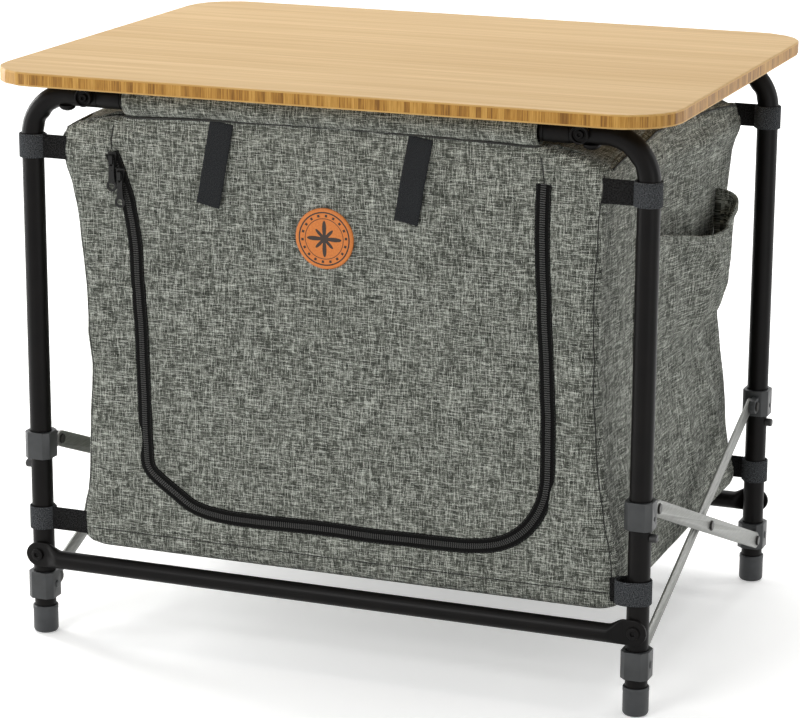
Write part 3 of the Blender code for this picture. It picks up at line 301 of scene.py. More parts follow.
def patch_leather():
    """Tan leather, pebbled about 1 mm across, printed in dark brown with two rings, a ring of ticks and an
    eight-pointed compass rose."""
    made, put, shader = new_material("tan_leather_patch", Roughness=0.55)
    place = put(ATTRIBUTE, out=VECTOR, attribute_name="cloth")
    a, b, _ = put(SPLIT, place).node.outputs
    radius = put("ShaderNodeVectorMath", place, out=1, operation="LENGTH")
    angle = put("ARCTAN2", b, a)
    double = put("MULTIPLY", angle, 2.0)
    # long points along the axes and short ones between them
    reach = 0.0026
    for wave, length in (("COSINE", 0.0130), ("SINE", 0.0085)):
        arm = put("POWER", put("ABSOLUTE", put(wave, double)), 8.0)
        reach = put("MULTIPLY_ADD", arm, length, reach)
    inks = [put("LESS_THAN", radius, reach)]
    inks += [put("COMPARE", radius, middle, half) for middle, half in ((0.0224, 0.0006), (0.0172, 0.0003))]
    tick = put("GREATER_THAN", put("SINE", put("MULTIPLY", angle, 18.0)), 0.55)
    ink = put("MULTIPLY", tick, put("COMPARE", radius, 0.0197, 0.0011))
    for other in inks:
        ink = put("MAXIMUM", ink, other)
    grain = put(NOISE, place, Scale=700.0, Detail=3.0, Roughness=0.6)
    leather = put(RAMP, grain, stops=((0.3, "#c8702c"), (0.7, "#d98238")))
    pebble = put("ShaderNodeTexVoronoi", place, Scale=900.0)
    fill(shader, Base_Color=put(MIX, ink, *GAP, leather, "#2b1c12", out=2, data_type="RGBA"),
         Normal=put(BUMP, Strength=0.25, Distance=0.0003, Height=pebble))
    return made


CLOTH = melange_cloth("grey_green_melange")
CLOTH_BOARD = melange_cloth("grey_green_melange_board", on_cloth=False)
RING = hook_tape("charcoal_hook_tape", "#1a1b1d", "#66696c", 1.0)
TAIL = hook_tape("black_loop_tape", "#030303", "#323232", 1.3)
TIE = hook_tape("charcoal_tie_tape", "#1d1e20", "#3e4042", 0.8)
TAPE = hook_tape("black_zip_tape", "#060606", "#191918", 0.8)
TEETH = dark_metal("black_zip_coil", "#3a3a38", 0.34, 0.0)
ZIP_METAL = dark_metal("black_nickel", "#1b1b1a", 0.30, 0.5)
RIVET = dark_metal("black_rivet_steel", "#2a2927", 0.36, 0.8)
TUBE = powder_coat()
NYLON = moulded("charcoal_nylon", "#2a2c2d", "#343637", 0.42)
FOOT = moulded("charcoal_foot_rubber", "#2c2e30", "#383a3c", 0.5)
BUTTON = moulded("black_button_nylon", "#1d1d1d", "#262626", 0.45)
STRIP = strip_steel()
BAMBOO = bamboo()
PATCH = patch_leather()
THREAD = moulded("dark_thread", "#181916", "#262723", 0.8)
GREY_THREAD = moulded("grey_thread", "#45483f", "#5b5e55", 0.8)


# ---------------------------------------------------------------- numbers along tables, paths and surfaces
def curve_at(table, value):
    """What a table of pairs gives at a value, between its rows too."""
    xs, ys = zip(*table)
    return np.interp(value, xs, ys)


def ease(share):
    """A smooth step from 0 to 1."""
    return share * share * (3 - 2 * share)


def rounded(distance, radius):
    """How far, from 0 to 1, a rounded edge has turned away at a distance from it."""
    return 1 - np.sqrt(np.clip(1 - np.clip(1 - distance / radius, 0, 1) ** 2, 0, 1))


def turns(sides):
    """The angles of a ring's points."""
    return [2 * math.pi * k / sides for k in range(sides)]


def unit(vectors):
    return vectors / np.linalg.norm(vectors, axis=1)[:, None]


def lengths(points):
    """How long a path is up to each of its points."""
    return np.concatenate([[0], np.cumsum(np.linalg.norm(np.diff(points, axis=0), axis=1))])


def places_along(points, wanted):
    """The places on a path at the wanted lengths along it."""
    return np.stack([np.interp(wanted, lengths(points), axis) for axis in np.transpose(points)], 1)


def lattice(a, b, cell, seed):
    """Smooth noise from -1 to 1 on a seeded lattice of cells, whose lines are shifted off the origin."""
    table = np.random.default_rng(seed).uniform(-1, 1, (64, 64))
    x, y = np.asarray(a) / cell + 17.3, np.asarray(b) / cell + 9.1
    i, j = np.floor(x).astype(int), np.floor(y).astype(int)
    u, v = ease(x - i), ease(y - j)
    low = table[i % 64, j % 64] * (1 - u) + table[(i + 1) % 64, j % 64] * u
    high = table[i % 64, (j + 1) % 64] * (1 - u) + table[(i + 1) % 64, (j + 1) % 64] * u
    return low * (1 - v) + high * v


def folds(a, b, table):
    """The height of soft ridges along straight lines, tapered at both ends."""
    total = 0
    for start, end, width, height in table:
        along = np.array(end) - np.array(start)
        t = ((a - start[0]) * along[0] + (b - start[1]) * along[1]) / (along @ along)
        side = ((b - start[1]) * along[0] - (a - start[0]) * along[1]) / np.hypot(*along)
        taper = ease(np.clip(t * 4 + 0.6, 0, 1) * np.clip((1 - t) * 3 + 0.4, 0, 1))
        total = total + height * np.exp(-(side / width) ** 2) * taper
    return total


# ---------------------------------------------------------------- mesh helpers
def new_object(name, data):
    obj = bpy.data.objects.new(name, data)
    scene.collection.objects.link(obj)
    return obj


def store(mesh, name, vectors):
    """Keep one vector for each of a mesh's points."""
    attribute = mesh.attributes.new(name, "FLOAT_VECTOR", "POINT")
    attribute.data.foreach_set("vector", np.asarray(vectors, np.float32).ravel())


def build(name, points, faces, cloth, material):
    """A smooth mesh object at the origin with its cloth coordinates in metres."""
    mesh = bpy.data.meshes.new(name)
    mesh.from_pydata([tuple(p) for p in points], [], faces)
    store(mesh, "cloth", cloth)
    mesh.materials.append(material)
    mesh.shade_smooth()
    return new_object(name, mesh)


def evaluated_mesh(obj):
    bpy.context.view_layer.update()
    return bpy.data.meshes.new_from_object(obj.evaluated_get(bpy.context.evaluated_depsgraph_get()))


def finish_mesh(obj):
    """Apply the modifiers and leave a plain mesh."""
    mesh, old = evaluated_mesh(obj), obj.data
    obj.modifiers.clear()
    obj.data = mesh
    bpy.data.meshes.remove(old)


def curve_mesh(name, outlines, closed=False, **settings):
    """The mesh of a curve through each outline's points."""
    curve = given(bpy.data.curves.new(name, "CURVE"), **settings)
    for outline in outlines:
        spline = curve.splines.new("POLY")
        spline.points.add(len(outline) - 1)
        spline.use_cyclic_u = closed
        for point, place in zip(spline.points, outline):
            point.co = (*map(float, place), 1)
    carrier = new_object(name, curve)
    mesh = evaluated_mesh(carrier)
    bpy.data.objects.remove(carrier, do_unlink=True)
    return mesh


def coat(mesh, material, sharp=None):
    """One material and smooth shading, but for edges sharper than an angle in degrees."""
    mesh.materials.clear()
    mesh.materials.append(material)
    mesh.shade_smooth()
    if sharp:
        mesh.set_sharp_from_angle(angle=math.radians(sharp))


def quads(rows, count, closed=False):
    """The faces between rows of points of equal count, each row open or closed."""
    return [(i * count + k, i * count + (k + 1) % count, (i + 1) * count + (k + 1) % count, (i + 1) * count + k)
            for i in range(rows - 1) for k in range(count if closed else count - 1)]


def grid(name, rows, columns, place, cloth, keep=None):
    """A cloth over shares u across and v up. keep picks the faces by their middle shares."""
    u, v = np.meshgrid(columns, rows)
    x, y, z = place(u, v)
    a, b = cloth(v, x, y, z)
    points = np.stack([x, y, z], -1).reshape(-1, 3)
    coords = np.stack([a, b, np.zeros_like(a)], -1).reshape(-1, 3)
    faces = quads(*u.shape)
    if keep is not None:
        faces = [face for face, kept in zip(faces, keep.ravel()) if kept]
    used = sorted({i for face in faces for i in face})
    index = {old: new for new, old in enumerate(used)}
    return build(name, points[used], [tuple(index[i] for i in face) for face in faces], coords[used], CLOTH)


def one_side_area(obj):
    return sum(face.area for face in obj.data.polygons)


def declare(obj, body, node=None):
    """Let a sheet ride on its body and stand in for a CAD node."""
    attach(obj, body)
    if node:
        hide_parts(node)
    return obj


def hang(obj, body, node=None, offset=0.0, thickness=CLOTH_T):
    given(obj.modifiers.new("cloth", "SOLIDIFY"), thickness=thickness, offset=offset)
    finish_mesh(obj)
    return declare(obj, body, node)


# ---------------------------------------------------------------- the front and back cloths
def hung(z, across):
    """How far, from 0 to 1, a panel sinks in at a place, and how freely it waves there."""
    low, height = 0.10, 0.375
    rise = np.clip((z - low) / height, 0, 1)
    sunk = np.sin(math.pi * rise) ** 1.1 * np.sin(math.pi * across) ** 0.7
    return sunk, np.clip(np.minimum(rise, 1 - rise) * 6, 0.15, 1)


def foot_turn(z):
    """How far a cloth turns in above its lowest edge."""
    return 0.006 * rounded(z - FLOOR_Z, 0.009)


def edge_turn(x, z, left, right):
    """How far a panel turns in along its sides and its foot."""
    return 0.0095 * rounded(np.minimum(x - left, right - x), 0.013) + foot_turn(z)


def front_depth(x, z):
    """The y of the front cloth's outer face at a place."""
    left, right = curve_at(LEFT_EDGE, z), curve_at(RIGHT_EDGE, z)
    sunk, free = hung(z, np.clip((x - left) / np.maximum(right - left, 1e-4), 0, 1))
    # waves about 55, 30 and 14 mm long
    wave = (0.0016 * lattice(x, z * 0.7, 0.055, 3) + 0.0010 * lattice(x * 0.7, z, 0.030, 4)
            + 0.0006 * lattice(x, z, 0.014, 5))
    y = -CLOTH_Y - CLOTH_T + 0.0065 * sunk + wave * free
    return y - folds(x, z, FRONT_FOLDS) + edge_turn(x, z, left, right)


def on_front(x, z, lift):
    """Points in front of the front cloth's outer face."""
    return np.stack([x, front_depth(x, z) - lift, z], 1)


def zip_points():
    """The zip's middle line as evenly spaced (x, z), from the upper left round to the upper right."""
    spacing = 0.004
    marks = [(float(curve_at(ZIP_LEFT, z)), z) for z in np.linspace(ZIP_END, 0.186, 22)] + ZIP_FOOT
    marks += [(float(curve_at(ZIP_RIGHT, z)), z) for z in np.linspace(.192, ZIP_END + .004, 20)]
    marks = np.array(marks)
    ends = np.vstack([2 * marks[0] - marks[1], marks, 2 * marks[-1] - marks[-2]])
    raw = []
    for a, b, c, d in zip(ends, ends[1:], ends[2:], ends[3:]):
        for t in np.linspace(0, 1, 9)[:-1]:
            raw.append(0.5 * (2 * b + (c - a) * t + (2 * a - 5 * b + 4 * c - d) * t ** 2
                              + (3 * b - a - 3 * c + d) * t ** 3))
    raw = np.array(raw + [marks[-1]])
    return places_along(raw, np.arange(0, lengths(raw)[-1], spacing))


ZIP_LINE = zip_points()


def inside_zip(x, z):
    """True where a place on the front lies on the door."""
    above = 0.60
    border = np.array([(curve_at(ZIP_LEFT, SEAM_Z), above), *ZIP_LINE, (SEAM_X, above)])
    inside = np.zeros(x.shape, bool)
    for (ax, az), (bx, bz) in zip(border, np.roll(border, 1, axis=0)):
        if az != bz:
            inside ^= ((az > z) != (bz > z)) & (x < (bx - ax) * (z - az) / (bz - az) + ax)
    between = (x > curve_at(ZIP_LEFT, z)) & (x < curve_at(ZIP_RIGHT, z))
    return np.where(z > ZIP_END, between, inside)


def front_place(u, z):
    """Columns 0 to 1 lie left of the zip, 1 to 2 on the door, 2 to 3 right of the zip."""
    xs = [curve_at(table, z) for table in (LEFT_EDGE, ZIP_LEFT, ZIP_RIGHT, RIGHT_EDGE)]
    left = xs[0] + (xs[1] - xs[0]) * np.clip(u, 0, 1) ** 1.35
    door = xs[1] + (xs[2] - xs[1]) * np.clip(u - 1, 0, 1)
    right = xs[2] + (xs[3] - xs[2]) * (1 - (1 - np.clip(u - 2, 0, 1)) ** 1.6)
    x = np.where(u <= 1, left, np.where(u <= 2, door, right))
    lift = np.clip((z - 0.455) / (SEAM_Z - 0.455), 0, 1) ** 2
    return x, front_depth(x, z), z + (curve_at(SLEEVE_SEAM, x) - SEAM_Z) * lift


def make_front():
    """The front cloth, cut along the zip into the door and what is round it."""
    rows = np.concatenate([np.linspace(FLOOR_Z, .129, 14), np.linspace(.129, ZIP_END, 90)[1:],
                           np.linspace(ZIP_END, SEAM_Z, 15)[1:]])
    columns = np.concatenate([np.linspace(0, 1, 15), 1 + np.linspace(0, 1, 95)[1:],
                              2 + np.linspace(0, 1, 15)[1:]])
    u, z = np.meshgrid((columns[1:] + columns[:-1]) / 2, (rows[1:] + rows[:-1]) / 2)
    door = inside_zip(front_place(u, z)[0], z)
    for name, keep, body, node, flat, held in (
            ("front_cloth_surround", ~door, "front_frame", "front_cloth", (0.075, 1.150), "stretched"),
            ("door_panel", door, "door", "door", (0.400, 0.355), "hung")):
        panel = grid(name, rows, columns, front_place, lambda v, x, y, z: (x, z), keep)
        hang(panel, body, node, 1.0)


def make_back():
    def place(u, v):
        z = FLOOR_Z + (SEAM_Z - FLOOR_Z) * v
        left, right = curve_at(BACK_LEFT, z), curve_at(BACK_RIGHT, z)
        x = left + (right - left) * u
        sunk, free = hung(z, u)
        y = CLOTH_Y + CLOTH_T - 0.0055 * sunk + 0.0018 * lattice(x, z * 0.7, 0.055, 51) * free
        return x, y + folds(x, z, BACK_FOLDS) - edge_turn(x, z, left, right), z
    panel = grid("back_cloth_panel", np.linspace(0, 1, 78), np.linspace(0, 1, 90), place,
                 lambda v, x, y, z: (x + 3.1, z))
    panel.data.flip_normals()
    hang(panel, "rear_frame", "back_cloth", 1.0)


# ---------------------------------------------------------------- ribbons that follow a run
def ribbon(name, run, across, width, thickness, material, crown=0.0, steps=4):
    """A flat tape along points with a unit across vector each; its normal is run x across. Also its area."""
    run, across = np.asarray(run, float), np.asarray(across, float)
    normal = unit(np.cross(unit(np.gradient(run, axis=0)), across))
    shares = np.linspace(-1, 1, steps + 1)[None, :, None]
    points = run[:, None] + across[:, None] * shares * width / 2 + normal[:, None] * crown * (1 - shares ** 2)
    coords = np.concatenate(np.broadcast_arrays(lengths(run)[:, None, None], shares * width / 2, 0.0), -1)
    tape = build(name, points.reshape(-1, 3), quads(len(run), steps + 1), coords.reshape(-1, 3), material)
    area = one_side_area(tape)
    given(tape.modifiers.new("tape", "SOLIDIFY"), thickness=thickness, offset=0)
    given(tape.modifiers.new("edge", "BEVEL"), width=thickness * 0.3, segments=1, limit_method="ANGLE")
    finish_mesh(tape)
    return tape, area


def bars_tree():
    """Geometry Nodes: a short round bar at every pitch along a path, lying along the path's own axis."""
    tree = bpy.data.node_groups.new("bars_along_path", "GeometryNodeTree")
    face = tree.interface
    face.new_socket("Path", in_out="INPUT", socket_type="NodeSocketGeometry")
    for word in ("Pitch", "Bar Radius", "Bar Length"):
        face.new_socket(word, in_out="INPUT", socket_type="NodeSocketFloat")
    face.new_socket("Finish", in_out="INPUT", socket_type="NodeSocketMaterial")
    face.new_socket("Bars", in_out="OUTPUT", socket_type="NodeSocketGeometry")
    path, pitch, radius, length, finish, _ = tree.nodes.new("NodeGroupInput").outputs
    curve = add(tree, "GeometryNodeMeshToCurve", path)
    points = add(tree, "GeometryNodeResampleCurve", curve, Length=pitch, mode="LENGTH")
    bar = add(tree, "GeometryNodeMeshCylinder", 6, 1, 1, radius, length)
    axis = add(tree, "GeometryNodeInputNamedAttribute", "axis", data_type="FLOAT_VECTOR")
    turn = add(tree, "FunctionNodeAlignRotationToVector", Vector=axis, axis="Z")
    placed = add(tree, "GeometryNodeInstanceOnPoints", points, Instance=bar, Rotation=turn)
    real = add(tree, "GeometryNodeRealizeInstances", placed)
    fill(tree.nodes.new("NodeGroupOutput"), (add(tree, "GeometryNodeSetMaterial", real, Material=finish),))
    return tree


BARS = bars_tree()


def bars(name, runs, pitch, radius, length, material):
    """Bars along each run. A run is its points and the axis that a bar has at each of them."""
    mesh = bpy.data.meshes.new(name)
    edges, base = [], 0
    for run, _ in runs:
        edges += [(base + i, base + i + 1) for i in range(len(run) - 1)]
        base += len(run)
    mesh.from_pydata([tuple(p) for run, _ in runs for p in run], edges, [])
    store(mesh, "axis", np.concatenate([axis for _, axis in runs]))
    obj = new_object(name, mesh)
    modifier = given(obj.modifiers.new("bars", "NODES"), node_group=BARS)
    sizes = {"Pitch": pitch, "Bar Radius": radius, "Bar Length": length, "Finish": material}
    for socket in BARS.interface.items_tree:
        if socket.in_out == "INPUT" and socket.name in sizes:
            modifier[socket.identifier] = sizes[socket.name]
    finish_mesh(obj)
    obj.data.shade_smooth()
    obj.data.set_sharp_from_angle(angle=math.radians(70))
    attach(obj, "front_frame")


def make_zip():
    """The tape, the coil's turns on both sides of its middle, and its two rows of stitches."""
    run = on_front(*ZIP_LINE.T, 0.0012)
    ahead = unit(np.gradient(run, axis=0))
    across = unit(np.cross(ahead, [0.0, -1.0, 0.0]))
    tape, area = ribbon("zip_tape", run, across, 0.0132, 0.0010, TAPE)
    declare(tape, "front_frame",
            "door_zip")
    out = unit(np.cross(across, ahead))
    out = np.where(out[:, 1:2] > 0, -out, out)
    # the coil's halves start at the third point, and one is shifted along by less than a turn
    half_coil, coil_lift, row_side, row_lift, shift = 0.00115, 0.0008, 0.0056, 0.0005, 0.22
    coil = [(run[2:] + across[2:] * s * half_coil + out[2:] * coil_lift, across[2:] * s) for s in (1, -1)]
    coil[1][0][0] += (run[3] - run[2]) * shift
    bars("zip_coil", coil, 0.0019, 0.00052, 0.0021, TEETH)
    rows = [(run + across * s * row_side + out * row_lift, ahead) for s in (-1, 1)]
    bars("zip_stitches", rows, 0.0032, 0.00022, 0.0022, THREAD)


# ---------------------------------------------------------------- sleeves
def make_sleeve(side, end_name, body):
    """The cloth tube round a top rail, gathered a little along its seam."""
    half_length, free_end, around, tight, slack = 0.1835, 0.009, 0.075, 0.0105, 0.0016

    def place(u, v):
        x = -half_length + 2 * half_length * u
        angle = 2 * math.pi * v - math.pi / 2
        rumple = 0.0007 * lattice(x, angle * 0.012, 0.018, 31) + 0.0009 * lattice(x, angle * 0.03, 0.05, 32)
        end = np.clip(np.minimum(u, 1 - u) * 2 * half_length / free_end, 0, 1)
        radius = tight + slack * np.sqrt(end) + rumple
        y = side * (LEG_Y + 0.0006 + radius * np.cos(angle))
        low = np.clip(-np.sin(angle), 0, 1) ** 3
        drop = low * (RAIL_Z - radius - curve_at(SLEEVE_SEAM, x)) * 0.35
        return x, y, RAIL_Z - 0.0004 + radius * np.sin(angle) - drop
    sleeve = grid(end_name + "_sleeve", np.linspace(0, 1, 41), np.linspace(0, 1, 160), place,
                  lambda v, x, y, z: (x, v * around + 0.6))
    hang(sleeve, body)


# ---------------------------------------------------------------- sides, top, floor and pocket
def soft_sheet(name, node, rows, columns, place, cloth, flip=False, thickness=CLOTH_T):
    """A cloth sheet that rides on the front frame in place of a CAD node."""
    obj = grid(name, np.linspace(0, 1, rows), columns, place, cloth)
    if flip:
        obj.data.flip_normals()
    return hang(obj, "front_frame", node,
                thickness=thickness)


def side_surface(sx):
    """Maps shares to the side cloth: u from the front to the back, v up. The right side's upper edge is
    lower at the rear."""
    front, back = (RIGHT_EDGE, BACK_RIGHT) if sx > 0 else (LEFT_EDGE, BACK_LEFT)

    def place(u, v):
        middle = np.clip(np.sin(math.pi * u), 0, 1)
        rear = (sx > 0) * np.clip(u - 0.4, 0, 1)
        top = 0.4560 - 0.0090 * rear + 0.0090 * middle ** 0.5
        z = FLOOR_Z + (top - FLOOR_Z) * v
        y = -SIDE_Y + 2 * SIDE_Y * u
        level = np.minimum(z, 0.4505 - 0.0085 * rear / 0.6)
        start, end = curve_at(front, level), curve_at(back, level)
        waves = 0.0034 * lattice(y, z * 0.30, 0.040, 41 + sx) + 0.0015 * lattice(y, z * 0.6, 0.019, 43 + sx)
        out = waves * middle * np.clip(v * 6, 0, 1) + folds(y, z, SIDE_FOLDS) * np.clip(middle * 3, 0, 1)
        shoulder = (0.003 + 0.007 * middle) * rounded(top - z, 0.014)
        return start + (end - start) * ease(u) + sx * (out - foot_turn(z) - shoulder), y, z
    return place


def make_side(sx, side):
    return soft_sheet("side_sheet_" + side, "side_cloth_" + side, 100, np.linspace(0, 1, 100), side_surface(sx),
                      lambda v, x, y, z: (y * 0.7 + 1.3, z * 0.9), sx > 0)


def ear_height(x, table):
    """The height of the front or back cloth's upper edge at a place across."""
    xs, zs = zip(*sorted((b, a) for a, b in table if a >= .4485))
    return np.interp(np.abs(x), xs, zs, right=zs[-1])


def make_top():
    """The cloth top, whose edges slope down to the side seams and the four corners."""
    left_side, right_side = side_surface(-1), side_surface(1)

    def place(u, v):
        left, _, low_left = left_side(v, np.ones_like(v))
        right, _, low_right = right_side(v, np.ones_like(v))
        x = left + (right - left) * u
        s = 2 * u - 1
        z = (TOP_Z + (np.where(s < 0, low_left, low_right) - TOP_Z) * np.abs(s) ** 7
             + 0.0010 * lattice(x, v * 0.37, 0.05, 61) * (1 - s ** 2))
        front_ear = ear_height(x, RIGHT_EDGE)
        back_ear = np.where(x > 0, ear_height(x, BACK_RIGHT), front_ear)
        start = front_depth(x, front_ear) + CLOTH_T
        near = ease(np.clip(1 - np.minimum(v, 1 - v) / 0.16, 0, 1))
        z = z + (np.minimum(np.where(v < 0.5, front_ear, back_ear), TOP_Z) - z) * near
        return x, start + (-2 * start - 0.0006) * v, z
    return soft_sheet("top_sheet", "top_cloth", 70, np.linspace(0, 1, 96), place,
                      lambda v, x, y, z: (x + 5.2, y))


def make_floor():
    def place(u, v):
        reach = CLOTH_Y - 0.006
        x, y = -0.2215 + 0.471 * u, -reach + 2 * reach * v
        return x, y, FLOOR_Z + CLOTH_T + 0.0003 * lattice(x, y, 0.05, 62)
    return soft_sheet("floor_sheet", "floor_cloth", 40, np.linspace(0, 1, 50), place,
                      lambda v, x, y, z: (x + 5.2, y))


def make_pocket():
    """The right side's pouch pocket, slack at its mouth, with a hem round the rim and a seam behind it."""
    surface = side_surface(1)
    front, back, low, top = -0.084, 0.1385, 0.268, 0.452
    depth, mouth_depth, sag_depth = 0.020, 0.0045, 0.009
    us = np.concatenate([np.linspace(0, .84, 84), .84 + .16 * np.linspace(0, 1, 50)[1:] ** 0.8])

    def place(u, v):
        y = front + (back - front) * u
        z = low + (curve_at(POCKET_MOUTH, y) - low) * v
        wall = surface((y + SIDE_Y) / (2 * SIDE_Y), (z - FLOOR_Z) / (top - FLOOR_Z))[0]
        ends = np.clip(u / 0.62, 0, 1) ** 1.2 * (1 - np.clip(1 - (1 - u) / 0.06, 0, 1) ** 2.2) ** 0.6
        pouch = depth * (1 - np.exp(-v * 14)) + mouth_depth * v ** 1.2
        waves = 0.0020 * lattice(y, z * 0.5, 0.026, 71) * (0.3 + v) + folds(y, z, POCKET_FOLDS)
        sag = sag_depth * ends * np.exp(-(v / 0.10)) * np.clip(v * 30, 0, 1)
        return wall + CLOTH_T + (pouch + waves) * ends, y, z - sag
    cloth = soft_sheet("side_pocket_cloth", "side_pocket", 60, us, place,
                       lambda v, x, y, z: (y * 0.7 + 7.4, z * 0.9), True, 0.0014)
    run = np.stack(place(us, np.ones_like(us)), 1) + (0.0006, 0, -0.0035)
    hem = ribbon("side_pocket_hem", run, np.tile([0.0, 0.0, 1.0], (len(run), 1)), 0.0080, 0.0026, CLOTH)[0]
    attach(hem, "front_frame")
    z = np.linspace(0.334, 0.381, 20)
    wall = float(surface(np.array(.88), np.array(.7))[0])
    line = np.stack([np.full_like(z, wall + .0014), np.full_like(z, .1398), z], 1)
    return cloth, hem, seam("side_pocket_seam", line, 0.0006)


# ---------------------------------------------------------------- straps, ties and patch
def strap_path(sx, sy, z, edge):
    """A tail from the cloth's edge, then a little over once round the leg, seen from above. The loop at
    the lower front right hangs loose."""
    cx, cy = sx * LEG_X, sy * LEG_Y
    start = math.atan2(sy * 0.0035, -sx * 0.0105)
    inner, lap, laps, loose = 0.0103, 0.0013, 1.10, 0.0075
    run = [(edge + sx * -0.006, sy * (CLOTH_Y + 0.0002)), (edge + sx * 0.004, sy * (CLOTH_Y - 0.0002))]
    steps = 40
    for t in (k / steps for k in range(steps + 1)):
        angle = start + sx * sy * (2 * math.pi * laps) * t
        radius = inner + lap * t + 0.0003 * math.sin(3 * angle + sx + 2 * sy + 40 * z)
        if (sx, sy, z) == (1, -1, STRAP_LOW):
            radius += loose * max(0.0, math.cos(angle - 3.5)) ** 3
        run.append((cx + radius * math.cos(angle), cy + radius * math.sin(angle)))
    return np.array([(x, y, z) for x, y in run])


def make_straps():
    """Each strap is a black tail on the cloth and a charcoal loop lapped round the leg."""
    edges = {(-1, -1): LEFT_EDGE, (1, -1): RIGHT_EDGE, (-1, 1): BACK_LEFT, (1, 1): BACK_RIGHT}
    spacing, touching = 0.0014, 0.0118
    corners = [(*end, *side, *level) for end in ENDS for side in SIDES
               for level in ((STRAP_HIGH, "upper"), (STRAP_LOW, "lower"))]
    for sy, place, body, sx, side, z, level in corners:
        path = strap_path(sx, sy, z, float(curve_at(edges[sx, sy], z)))
        length = lengths(path)[-1]
        run = places_along(path, np.linspace(0, length, max(3, int(length / spacing))))
        near = np.hypot(run[:, 0] - sx * LEG_X, run[:, 1] - sy * LEG_Y)
        split = int(np.argmax(near < touching)) + 1
        for part, points, finish in (("tail", run[:split + 1], TAIL), ("loop", run[split:], RING)):
            strap, area = ribbon(f"{place}_strap_{level}_{side}_{part}", points,
                                 np.tile([0.0, 0.0, 1.0], (len(points), 1)), STRAP_W, 0.0013, finish, steps=3)
            declare(strap, body)


def make_ties():
    for name, x_top, x_low in (("left", -0.0942, -0.1079), ("right", 0.0830, 0.0705)):
        t = np.linspace(0, 1, 30)
        run = on_front(x_top + (x_low - x_top) * t ** 1.05, 0.4728 - 0.0715 * t,
                       0.0016 + 0.0035 * t ** 1.5 + 0.0012 * np.sin(math.pi * t))
        across = unit(np.cross(np.gradient(run, axis=0), [0.0, -1.0, 0.0]))
        tie, area = ribbon("door_tie_tape_" + name, run, across, 0.0212, 0.0016, TIE, 0.0006, 5)
        declare(tie, "door",
                "door_tie_" + name)


def make_patch():
    """A leather disc with a rounded rim that follows the door's surface."""
    cx, cz, radius, sides = -0.0040, 0.3805, 0.026, 72
    rings = [(0.35, 0.0016), (0.7, 0.0016), (0.93, 0.0016), (0.98, 0.0013), (1.0, 0.0007), (1.0, 0.0)]
    points, coords = [], []
    for share, lift in rings:
        for angle in turns(sides):
            a, b = radius * share * math.cos(angle), radius * share * math.sin(angle)
            points.append((cx + a, float(front_depth(cx + a, cz + b)) - 0.0014 - lift, cz + b))
            coords.append((a, b, 0))
    faces = quads(len(rings), sides, True) + [tuple(reversed(range(sides)))]
    patch = build("door_patch_leather", points, faces, coords, PATCH)
    patch.data.set_sharp_from_angle(angle=math.radians(60))
    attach(patch, "door")
    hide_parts("door_patch")


# ---------------------------------------------------------------- zip pulls and seams
def ring_points(radius, drop, angles):
    return [(radius * math.sin(t), -drop - radius * math.cos(t), 0) for t in angles]


def make_pulls():
    """Stamped tabs with a wide ringed end, hung from the sliders' bridges."""
    drop = 0.0232  # from the bridge to the middle of the ring
    neck = -drop + .0045
    edge = [(-.0021, .0005, 0), (.0021, .0005, 0), (.0025, -.003, 0), (.0022, -.011, 0), (.0028, neck, 0)]
    edge += ring_points(.0046, drop, np.linspace(2.45, -2.45, 26))
    edge += [(-.0026, neck, 0), (-.0022, -.011, 0), (-.0025, -.003, 0)]
    hole = [(.0029 * math.cos(t), -drop + .0029 * math.sin(t), 0) for t in np.linspace(0, 2 * math.pi, 21)[:-1]]
    slot = [(-.0013, -.0020, 0), (.0013, -.0020, 0), (.0013, -.0062, 0), (-.0013, -.0062, 0)]
    for name in ("upper", "lower"):
        corners = np.array([v.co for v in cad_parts["zip_pull_" + name].data.vertices])
        top, x = corners[:, 2].max(), (corners[:, 0].max() + corners[:, 0].min()) / 2
        y = corners[:, 1].mean()
        mesh = curve_mesh("pull", (edge, hole, slot), True, dimensions="2D", fill_mode="BOTH", extrude=0.00035,
                          bevel_depth=0.00022, bevel_resolution=2, resolution_u=2)
        for vert in mesh.vertices:
            a, b, c = vert.co
            vert.co = (x + a, y - c, top + b)
        coat(mesh, ZIP_METAL, 40)
        tab = new_object("zip_pull_tab_" + name, mesh)
        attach(tab, "zip_pull_" + name)
        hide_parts("zip_pull_" + name)


def seam(name, points, radius):
    """A thin line of thread or piping along points; under the sleeve it also paints the sleeve's shadow."""
    mesh = curve_mesh(name, [points], dimensions="3D", bevel_depth=radius, bevel_resolution=2)
    coat(mesh, THREAD)
    obj = new_object(name, mesh)
    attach(obj, "front_frame")
    return obj


def make_side_seam(sx, side):
    """The seam where a side meets the top."""
    u = np.linspace(0.015, 0.985, 120)
    run = np.stack(side_surface(sx)(u, np.full_like(u, 0.992)), 1) + (sx * CLOTH_T, 0, 0.0006)
    return seam("side_seam_" + side, run, 0.0008)


